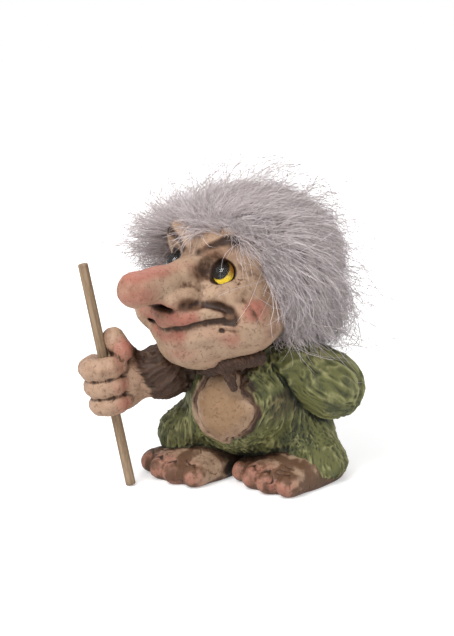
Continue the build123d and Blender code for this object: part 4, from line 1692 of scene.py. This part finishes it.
@dataclass
class Eyes:
    """Glass domes and the painted discs behind them.

    The glass lies bond ahead of its seat. The disc is disc_gap smaller than the glass, and its
    front stands lift ahead of the seat at the rim, less the dish in its middle. The glance is
    how far the pupils stand to the troll's right, as a share of the disc.
    """

    place: EyePlace
    rings: int = 24
    spokes: int = 64
    bond: float = 0.03
    disc_gap: float = 0.2
    lift: float = 0.20
    dish: float = 0.12
    glance: float = 0.33

    def turned_surface(self, side: Side, profile: Array) -> tuple[Array, list[Array]]:
        """A closed surface turned about the eye's axis.

        A point is the seat, plus its height along the axis, plus its radius times the cosine
        and sine of the spoke's angle along two ways across the axis. The first and the last
        row are single points on the axis.

        Args:
            side: Which eye.
            profile: Radius and height of each row, in millimetres.

        Returns:
            The points and the faces.
        """
        axis = self.place.look(side)
        across = unit(np.cross(axis, [0.0, 0.0, 1.0]))
        circle = circle_ways(self.spokes, across, np.cross(across, axis))
        rows = profile[1:-1, 0, None, None] * circle[None] + profile[1:-1, 1, None, None] * axis
        ends = profile[[0, -1], 1, None] * axis
        points = np.concatenate([rows.reshape(-1, 3), ends]) + self.place.seat(side, 0.0)
        return points, capped_faces(len(profile) - 2, self.spokes)

    def dome(self, side: Side, glass: Material) -> None:
        """The half ball of glass: radius r sin a and height r cos a, closed by a flat back.

        Args:
            side: Which eye.
            glass: Its finish.
        """
        angles = np.linspace(0.0, math.pi / 2, self.rings)
        radius = self.place.radius - self.bond
        cap = np.stack([radius * np.sin(angles), radius * np.cos(angles) + self.bond], axis=-1)
        flat = np.array([[radius * part, self.bond] for part in (0.97, 0.5, 0.0)])
        points, faces = self.turned_surface(side, np.concatenate([cap, flat]))
        label = side.name.lower()
        piece = mesh_object(f"{label}_eye_dome", points, faces, glass)
        fit(piece, BODY, [f"{label}_eye_glass"])

    def painted_disc(self, side: Side, paint: Material) -> None:
        """The painted disc, its front dished by dish times the cosine of the radius share.

        The front reaches a trace into the glass, as paint on the back of the glass does.

        Args:
            side: Which eye.
            paint: Its finish.
        """
        share = np.linspace(0.0, 1.0, self.rings)
        radius = self.place.radius - self.disc_gap
        front = np.stack([radius * share, self.lift - self.dish * np.cos(share * math.pi / 2)], axis=-1)
        back = np.array([[radius * part, -self.place.disc] for part in (1.0, 0.5, 0.0)])
        profile = np.concatenate([front, back])
        points, faces = self.turned_surface(side, profile)
        around = np.concatenate([np.repeat(profile[1:-1, 0], self.spokes), profile[[0, -1], 0]]) / radius
        seat = self.place.seat(side, 0.0)
        pupil = seat + radius * np.array([-self.glance, 0.0, 0.8 * self.glance])
        away = np.linalg.norm((points - pupil) * [1.0, 0.3, 1.0], axis=-1) / radius
        # low rises from the top of the disc to its foot and carries the iris's painted light and shade.
        low = 0.5 - 0.5 * (points - seat)[:, 2] / radius
        label = side.name.lower()
        numbers = {"around": around, "pupil": away, "low": low}
        piece = mesh_object(f"{label}_eye_disc", points, faces, paint, numbers)
        fit(piece, BODY, [f"{label}_eye_iris"])

    def build(self) -> None:
        """Both eyes, with the wires dressed as drawn steel."""
        glass, paint, wire = EyeGlass().material(), EyePaint().material(), DrawnWire().material()
        for side in Side:
            self.dome(side, glass)
            self.painted_disc(side, paint)
            dress(f"{side.name.lower()}_eye_shank", wire)


# Wig


class Panel(Enum):
    """The four panels of the wig."""

    CROWN = "hair_crown"
    BACK = "hair_back"
    LEFT = "hair_left"
    RIGHT = "hair_right"


@dataclass
class Wig:
    """Hair that springs from the skull and fans out from the face over the head.

    Places in the wig are written as a direction from its middle and a share of the way from
    the skull, 0, to the outline of the mass, 1.
    """

    middle: Point = (0.0, 2.0, 86.0)
    skull: tuple[Egg, ...] = (SKULL, MUZZLE, CHEEK.on(Side.LEFT), CHEEK.on(Side.RIGHT))
    outline: tuple[Egg, ...] = (Egg((0, -6.5, 90), (46, 41, 30)), Egg((0, 9, 71), (37.5, 30, 28)))
    face_way: Point = (0.0, -0.86, 0.44)
    crown_seam: float = 98.0
    back_seam: float = 12.0
    least_depth: float = 5.0
    pile_grid: tuple[int, int] = (190, 380)
    pile_share: float = 0.56
    cap_grid: tuple[int, int] = (60, 120)
    cap_margin: float = 3.0
    cap_layers: tuple[float, float] = (0.7, 0.1)
    low: Point = (-57.5, -58.0, 42.0)
    high: Point = (57.5, 53.5, 132.0)
    strands: int = 31000
    stray_share: float = 0.042
    rings: int = 7
    thickness: float = 0.095
    per_piece: int = 5800
    seed: int = 5

    def exit(self, egg: Egg, ways: Array) -> Array:
        """How far it is from the middle to an egg's skin along each direction.

        With o the middle and v the direction, both divided by the egg's half sizes, it is the
        greater root t of |o + t v| = 1, and 0 where the direction misses the egg.

        Args:
            egg: The egg.
            ways: Directions from the middle.

        Returns:
            Millimetres along each direction.
        """
        radii = np.array(egg.radii)
        start = (np.array(self.middle) - np.array(egg.centre)) / radii
        way = ways / radii
        square = np.sum(way * way, axis=-1)
        half = way @ start
        inside = half * half - square * (start @ start - 1.0)
        return np.where(inside > 0, (np.sqrt(np.maximum(inside, 0.0)) - half) / square, 0.0)

    def place(self, ways: Array, share: Array) -> Array:
        """The points at a share of the way from the skull to the outline.

        Args:
            ways: Directions from the middle.
            share: The share for each.

        Returns:
            Places in millimetres.
        """
        inner = np.max([self.exit(egg, ways) for egg in self.skull], axis=0)
        outer = np.max([self.exit(egg, ways) for egg in self.outline], axis=0)
        outer = np.maximum(outer, inner + self.least_depth)
        return np.array(self.middle) + ways * (inner + share * (outer - inner))[..., None]

    def flow(self, ways: Array) -> Array:
        """The combed way at each direction: away from the face and, lower down, downwards.

        Args:
            ways: Directions from the middle.

        Returns:
            A direction for each.
        """
        away = ways * (ways @ np.array(self.face_way))[..., None] - np.array(self.face_way)
        down = ways * ways[..., 2:] - np.array([0.0, 0.0, 1.0])
        weight = 0.15 + 0.75 * rise(ways[..., 2:], 0.75, 0.0)
        return unit(unit(away) + weight * down)

    def behind(self, points: Array) -> Array:
        """How far behind the hairline each point is. The line runs back as it goes down."""
        x, y, z = points[..., 0], points[..., 1], points[..., 2]
        line = -22.5 + 0.11 * np.abs(x) - 0.30 * np.clip(z - 98.0, -4.0, 12.0)
        return y - line - 0.52 * np.clip(92.0 - z, 0.0, 50.0)

    def build_pile(self, finish: Material) -> None:
        """The dense inner pile: a globe's grid of directions, part of the way out.

        A direction is the cosine of its height times the sine and cosine of its turn, and the
        sine of its height. The share of the way is pile_share, less towards the hairline and
        the neck, with ridges that follow the combed way. In front of the hairline the pile
        goes down under the skin of the head.

        Args:
            finish: The pile's finish.
        """
        rows, columns = self.pile_grid
        up = np.linspace(-math.pi / 2, math.pi / 2, rows + 2)[1:-1, None]
        turn = np.linspace(0, 2 * math.pi, columns, endpoint=False)[None]
        level = np.broadcast_to(np.sin(up), (rows, columns))
        ways = np.stack([np.cos(up) * np.sin(turn), np.cos(up) * np.cos(turn), level], axis=-1)
        ways = np.concatenate([ways.reshape(-1, 3), [[0.0, 0.0, -1.0], [0.0, 0.0, 1.0]]])
        skull = self.place(ways, np.zeros(len(ways)))
        behind = self.behind(skull) - 1.5
        side = np.cross(ways, self.flow(ways))
        slow = wandering(ways * 30.0, 8.0, 1.0, 31)
        comb = np.stack([np.sum(ways * side, axis=-1), slow[:, 0], slow[:, 1]], axis=-1)
        streak = np.clip(1.0 - np.abs(noise(comb + side * 9.0, 1.6, 33)) * 1.8, 0.0, 1.0)
        share = self.pile_share * rise(behind, 0.0, 12.0) * rise(skull[:, 2], 58.0, 68.0)
        share = share - 0.14 * (1 - rise(behind, -1.5, 1.5))
        points = self.place(ways, share + 0.07 * (streak - 0.5) * rise(behind, 2.0, 8.0))
        points = points - ways * (7.0 * (1.0 - rise(behind, -7.0, -1.5)))[:, None]
        faces = turned_over(capped_faces(rows, columns))
        piece = mesh_object("hair_inner_pile", points, faces, finish, {"streak": streak})
        fit(piece, BODY)

    def build_cap(self, finish: Material) -> None:
        """The woven cap under the pile, as a thin closed shell.

        Its grid runs from a pole at the back of the crown to the hairline: the angle from the
        pole is the row's share of the greatest angle that still lies cap_margin behind the
        line. The cap_layers say how far over the skull the outer and the inner layer lie.
        They are joined at the edge.

        Args:
            finish: The cloth.
        """
        rows, columns = self.cap_grid
        pole, aside = unit(np.array([0.0, 0.8, 0.6])), np.array([1.0, 0.0, 0.0])
        spoke = circle_ways(columns, aside, np.cross(pole, aside))
        steps = np.linspace(0.2, math.pi, 240)[:, None, None]
        tried = np.cos(steps) * pole + np.sin(steps) * spoke
        places = self.place(tried, np.zeros(tried.shape[:2]))
        kept = (self.behind(places) > self.cap_margin) & (places[..., 2] > 66.0)
        past = np.argmin(np.concatenate([kept, np.zeros((1, columns), bool)]), axis=0)
        edge = steps[past - 1, 0, 0][:, None]
        share = np.linspace(0.0, 1.0, rows + 1)[1:, None, None]
        ways = np.cos(share * edge) * pole + np.sin(share * edge) * spoke
        ways = np.concatenate([ways.reshape(-1, 3), pole[None]])
        skull = self.place(ways, np.zeros(len(ways)))
        count = len(ways)
        index, after, quads = ring_grid(rows, columns)
        (outer,) = turned_over([quads])
        rim = np.stack([index[-1], index[-1] + count, after[-1] + count, after[-1]], axis=-1)
        tip = np.stack([np.full(columns, count - 1), index[0], after[0]], axis=-1)
        points = np.concatenate([skull + height * ways for height in self.cap_layers])
        faces = [
            np.concatenate([outer, outer[:, ::-1] + count, rim]),
            np.concatenate([tip, tip[:, ::-1] + count]),
        ]
        piece = mesh_object("wig_cap", points, faces, finish)
        fit(piece, BODY, ["wig_backing"])

    def roots(self, random: np.random.Generator) -> Array:
        """Evenly scattered directions, less those in front of the hairline and on the neck.

        Args:
            random: The seeded source of chance.

        Returns:
            Directions of the roots from the middle.
        """
        ways = unit(random.normal(size=(self.strands * 3, 3)))
        roots = self.place(ways, np.zeros(len(ways)))
        behind = self.behind(roots) + 1.2 * noise(roots, 4.0, 61)
        dense = random.random(len(ways)) < 0.72 + 0.28 * rise(behind, 12.0, 6.0)
        return ways[(behind > 0.0) & (roots[:, 2] > 60.0) & dense][: self.strands]

    def paths(self, ways: Array, random: np.random.Generator) -> tuple[Array, Array]:
        """The middle line of every strand.

        Its direction turns along a great circle towards the combed way, by an angle times the
        share s of its length. The share of the way out is its own reach times 1 - (1 - s)^2.
        A wave along each axis makes it wander. A few strands stray past the outline, some by
        the face are a fringe that turns forward, and those at the right temple flare out.

        Args:
            ways: Directions of the roots from the wig's middle.
            random: The seeded source of chance.

        Returns:
            Points of shape strands by rings by three, in millimetres, and which strands stray.
            Strands that leave the space of the wig are left out.
        """
        count = len(ways)
        place = ways * 30.0
        flow = self.flow(ways) + 0.45 * noise_vector(place, 7.0, 81)
        flow = flow + 0.42 * noise_vector(place, 2.6, 85) + 0.20 * random.normal(size=(count, 3))
        stray = random.random(count) < self.stray_share
        blown = flow + 0.8 * random.normal(size=(count, 3)) + np.array([0.45, 0.45, 0.35])
        flow = np.where(stray[:, None], blown, flow)
        flow = unit(flow - ways * np.sum(flow * ways, axis=-1, keepdims=True))
        near_face = rise(self.behind(self.place(ways, np.zeros(count))), 16.0, 1.0)
        angle = np.clip(random.normal(0.78, 0.28, count), 0.2, 1.5) * (1.0 - 0.80 * near_face)
        angle = angle + random.normal(0.0, 0.20, count) * near_face
        angle = np.where(stray, random.uniform(0.1, 0.75, count), angle)
        reach = 0.62 + random.exponential(0.20, count)
        reach = reach + 0.16 * noise(place, 6.0, 91) + 0.16 * noise(place, 2.6, 93)
        flare = near_face * rise(-ways[:, 0], 0.2, 0.7)
        reach = np.clip(reach + 0.45 * flare, 0.3, 1.6)
        fringe = random.random(count) < 0.16 * near_face
        angle = np.where(fringe, -random.uniform(0.15, 0.5, count), angle)
        reach = np.where(fringe, random.uniform(0.25, 0.9, count), reach)
        way_out = self.place(ways, np.ones(count)) - self.place(ways, np.zeros(count))
        past = random.uniform(1.0, 19.0, count) / np.linalg.norm(way_out, axis=-1)
        reach = np.where(stray, 1.0 + past, reach)
        share = np.linspace(0.0, 1.0, self.rings)[None, :]
        turned = angle[:, None] * share
        heading = np.cos(turned)[..., None] * ways[:, None] + np.sin(turned)[..., None] * flow[:, None]
        lines = self.place(heading, reach[:, None] * (1.0 - (1.0 - share) ** 2))
        phase = random.uniform(0, 2 * math.pi, (count, 1, 3))
        pace = random.uniform(4.0, 10.0, (count, 1, 1))
        waves = np.sin(share[..., None] * pace + phase) - np.sin(phase)
        size = np.where(stray, 1.8, 1.0)[:, None, None]
        lines = lines + size * waves * share[..., None]
        inside = np.all((lines > self.low) & (lines < self.high), axis=(1, 2))
        return lines[inside], stray[inside]

    def tubes(
        self, lines: Array, stray: Array, random: np.random.Generator
    ) -> tuple[Array, list[Array], Attributes]:
        """Three-sided tapered tubes along the lines.

        A point is the line's point plus the radius there times the cosine and sine of its
        corner's angle along two ways across the line. The last ring shrinks to one point, and
        the first is closed by a triangle.

        Args:
            lines: The middle lines.
            stray: Which strands stray. They keep more of their thickness to the tip.
            random: The seeded source of chance.

        Returns:
            The points, the faces, and the numbers that the finish reads.
        """
        count, rings = lines.shape[:2]
        along = np.gradient(lines, axis=1)
        across = unit(np.cross(along, unit(random.normal(size=(count, 1, 3)))))
        upright = unit(np.cross(along, across))
        share = np.linspace(0.0, 1.0, rings)
        taper = np.where(stray, 0.3, 0.7)[:, None, None]
        radius = self.thickness * (1.0 - taper * (share**1.5)[None, :, None])
        radius = radius * random.uniform(0.7, 1.3, (count, 1, 1))
        angles = [2 * math.pi * corner / 3 for corner in range(3)]
        turned = [math.cos(angle) * across + math.sin(angle) * upright for angle in angles]
        body = np.stack([lines + radius * way for way in turned], axis=2)[:, :-1]
        points = np.concatenate([body.reshape(count, -1, 3), lines[:, -1:]], axis=1)
        size = points.shape[1]
        ring, after, quads = ring_grid(rings - 1, 3)
        tips = np.stack([ring[-1], after[-1], np.full(3, size - 1)], axis=-1)
        ends = np.concatenate([tips, [[2, 1, 0]]])
        start = np.arange(count)[:, None, None] * size
        level = np.concatenate([np.repeat(share[:-1], 3), [1.0]])
        numbers = {
            "along": np.tile(level, count),
            "shade": np.repeat(random.random(count), size),
            "stray": np.repeat(stray.astype(float), size),
        }
        faces = [(quads[None] + start).reshape(-1, 4), (ends[None] + start).reshape(-1, 3)]
        return points.reshape(-1, 3), faces, numbers

    def panel_of(self, roots: Array) -> Array:
        """The number of the panel that each root lies in.

        Args:
            roots: Places of the roots.

        Returns:
            Numbers that count the panels from 0.
        """
        panels = list(Panel)
        crown, back = roots[:, 2] > self.crown_seam, roots[:, 1] > self.back_seam
        side = np.where(roots[:, 0] > 0, panels.index(Panel.LEFT), panels.index(Panel.RIGHT))
        side = np.where(back, panels.index(Panel.BACK), side)
        return np.where(crown, panels.index(Panel.CROWN), side)

    def build(self, whole: Distance) -> None:
        """The inner pile, the strands of each panel and the backing.

        Args:
            whole: Distance to the whole figure.
        """
        self.build_pile(UnderHair().material())
        random = np.random.default_rng(self.seed)
        lines, stray = self.paths(self.roots(random), random)
        depth = whole(lines[:, 2:].reshape(-1, 3).astype(np.float32)).reshape(len(lines), -1)
        free = np.min(depth, axis=1) > -0.3
        lines, stray = lines[free], stray[free]
        panels = self.panel_of(lines[:, 0])
        finish = WigFibre().material()
        for number, panel in enumerate(Panel):
            own, loose = lines[panels == number], stray[panels == number]
            for part, start in enumerate(range(0, len(own), self.per_piece)):
                some = slice(start, start + self.per_piece)
                points, faces, numbers = self.tubes(own[some], loose[some], random)
                piece = mesh_object(f"{panel.value}_strands_{part + 1}", points, faces, finish, numbers)
                fit(piece, BODY, [panel.value])
        self.build_cap(BackingCloth().material())


# Walking stick


@dataclass
class WalkingStick:
    """A plain dowel with broken edges."""

    place: StickPlace
    rows: int = 160
    spokes: int = 40
    chamfer: float = 0.35
    grain_pull: float = 0.05
    ripple: float = 0.05

    def build(self) -> None:
        """A profile carried along the stick's axis.

        A point is the axis point plus the radius times the cosine and sine of the spoke's
        angle. The radius is the dowel's, less the chamfer at the ends and less a fine ripple
        that follows the grain. The grain is noise on the unturned dowel, drawn out along it.
        A single point closes either end.
        """
        stick = self.place
        axis = stick.axis()
        across = unit(np.cross(axis, [0.0, 1.0, 0.0]))
        middle = np.linspace(self.chamfer, stick.length - self.chamfer, self.rows)
        length = np.concatenate([[0.0], middle, [stick.length]])
        radius = np.full(len(length), stick.radius)
        radius[[0, -1]] -= self.chamfer
        circle = circle_ways(self.spokes, across, np.cross(axis, across))
        rows = length[:, None, None] * axis + circle[None] * radius[:, None, None]
        flat = circle_ways(self.spokes, np.array([1.0, 0.0, 0.0]), np.array([0.0, 1.0, 0.0]))
        drawn = length[:, None, None] * np.array([0.0, 0.0, self.grain_pull])
        local = (flat[None] * stick.radius + drawn).reshape(-1, 3)
        grain = 0.5 + 0.5 * layered_noise(local, 0.9, 3)
        pores = rise(noise(local * [1, 1, 3], 0.35, 9), 0.35, 0.8)
        ripple = -self.ripple * rise(noise(local, 0.5, 12), 0.0, 1.0)
        rows = rows + circle[None] * ripple.reshape(rows.shape[:2])[..., None]
        points = np.concatenate([rows.reshape(-1, 3), [axis * 0.0, axis * stick.length]])
        worn = rise(length, 4.0, 0.0) + rise(length, stick.length - 3, stick.length)
        numbers = {
            "grain": np.concatenate([grain, [0.5, 0.5]]),
            "pores": np.concatenate([pores, [0.0, 0.0]]),
            "worn": np.concatenate([np.repeat(worn, self.spokes), [1.0, 1.0]]),
        }
        faces = capped_faces(len(length), self.spokes)
        finish = DowelWood().material()
        piece = mesh_object("walking_stick_dowel", points + stick.foot(), faces, finish, numbers)
        fit(piece, STICK_BODY, ["walking_stick"])


# Studio


@dataclass(frozen=True)
class Lamp:
    """A square lamp: its place in degrees and millimetres, its edge in metres and its power."""

    name: str
    turn: float
    up: float
    away: float
    size: float
    power: float


@dataclass
class Studio:
    """Camera, floor and soft lamps."""

    azimuth: float = 45.0
    elevation: float = 15.0
    distance: float = 600.0
    focal_pixels: float = 1500.0
    picture_height: float = 636.0
    target: Point = (-6.1, -6.1, 64.7)
    sensor: float = 36.0
    surround: float = 0.55
    half_floor: float = 1500.0
    lamps: tuple[Lamp, ...] = (
        Lamp("key", turn=-42.0, up=48.0, away=750.0, size=0.45, power=5.5),
        Lamp("fill", turn=55.0, up=25.0, away=900.0, size=0.7, power=1.8),
        Lamp("rim", turn=170.0, up=55.0, away=800.0, size=0.5, power=2.2),
    )

    def place_on(self, name: str, data: bpy.types.ID, way: Array, away: float) -> bpy.types.Object:
        """Puts a camera or a lamp some millimetres from the target and points it there.

        Args:
            name: Name of the new object.
            data: The camera or the lamp.
            way: Direction from the target.
            away: Millimetres from the target.

        Returns:
            The object.
        """
        target = np.array(self.target) * MM + origin_shift()
        spot = target + way * away * MM
        back = unit(spot - target)
        right = unit(np.cross([0.0, 0.0, 1.0], back))
        turned = np.eye(4)
        turned[:3] = np.stack([right, np.cross(back, right), back, spot], axis=1)
        thing = bpy.data.objects.new(name, data)
        bpy.context.scene.collection.objects.link(thing)
        thing.matrix_world = Matrix(turned.tolist())
        return thing

    def build_camera(self) -> None:
        """The camera at the photograph's place."""
        data = bpy.data.cameras.new("camera")
        data.sensor_width = self.sensor
        data.lens = self.focal_pixels / self.picture_height * self.sensor
        data.clip_start = 0.01
        way = way_at(self.azimuth, self.elevation)
        bpy.context.scene.camera = self.place_on("camera", data, way, self.distance)

    def build_lamp(self, lamp: Lamp) -> None:
        """A square lamp, turned from the camera's side."""
        data = bpy.data.lights.new(lamp.name, "AREA")
        data.size = lamp.size
        data.energy = lamp.power
        self.place_on(lamp.name, data, way_at(self.azimuth + lamp.turn, lamp.up), lamp.away)

    def build_world(self) -> None:
        """A soft grey surround that is white to the camera, in mirrored rays and through glass."""
        graph = Graph("studio", world=True)
        soft, white = (
            graph.wire("ShaderNodeBackground", None, {"Color": (1.0, 1.0, 1.0), "Strength": strength})
            for strength in (self.surround, 1.0)
        )
        values = {0: graph.backdrop_rays(), 1: soft, 2: white}
        mixed = graph.wire("ShaderNodeMixShader", None, values)
        bpy.context.scene.world = graph.finish(mixed, "ShaderNodeOutputWorld")

    def build_floor(self) -> None:
        """A wide floor under the soles."""
        corners = self.half_floor * np.array([[-1, -1, 0], [1, -1, 0], [1, 1, 0], [-1, 1, 0]])
        floor = mesh_object("floor", corners, [np.array([[0, 1, 2, 3]])], StudioFloor().material())

    def build(self) -> None:
        """Camera, surround, floor and lamps."""
        self.build_camera()
        self.build_world()
        self.build_floor()
        for lamp in self.lamps:
            self.build_lamp(lamp)
        bpy.context.scene.view_settings.view_transform = "Standard"


def main() -> None:
    """Builds every sub-assembly on the frame."""
    logging.basicConfig(level=logging.INFO, format="%(name)s %(message)s")
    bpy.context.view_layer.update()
    Studio().build()
    stick = StickPlace()
    head, torso, right_arm, left_arm = Head(), Torso(), RightArm(stick), LeftArm()
    feet = [Foot(Side.RIGHT, x=-14.8, y=-9.2), Foot(Side.LEFT, x=19.2, y=9.4)]
    clays = [part.clay() for part in (head, torso, right_arm, left_arm, *feet)]

    def whole(points: Array) -> Array:
        """Distance to the nearest of all the castings."""
        return np.min([clay.distance(points) for clay in clays], axis=0)

    paint = CastPaint().material()
    for part in (head, torso, right_arm, left_arm, *feet):
        part.build(whole, paint)
    FurKnot().build(paint)
    Eyes(EyePlace()).build()
    Wig().build(whole)
    WalkingStick(stick).build()


if __name__ == "__main__":
    main()
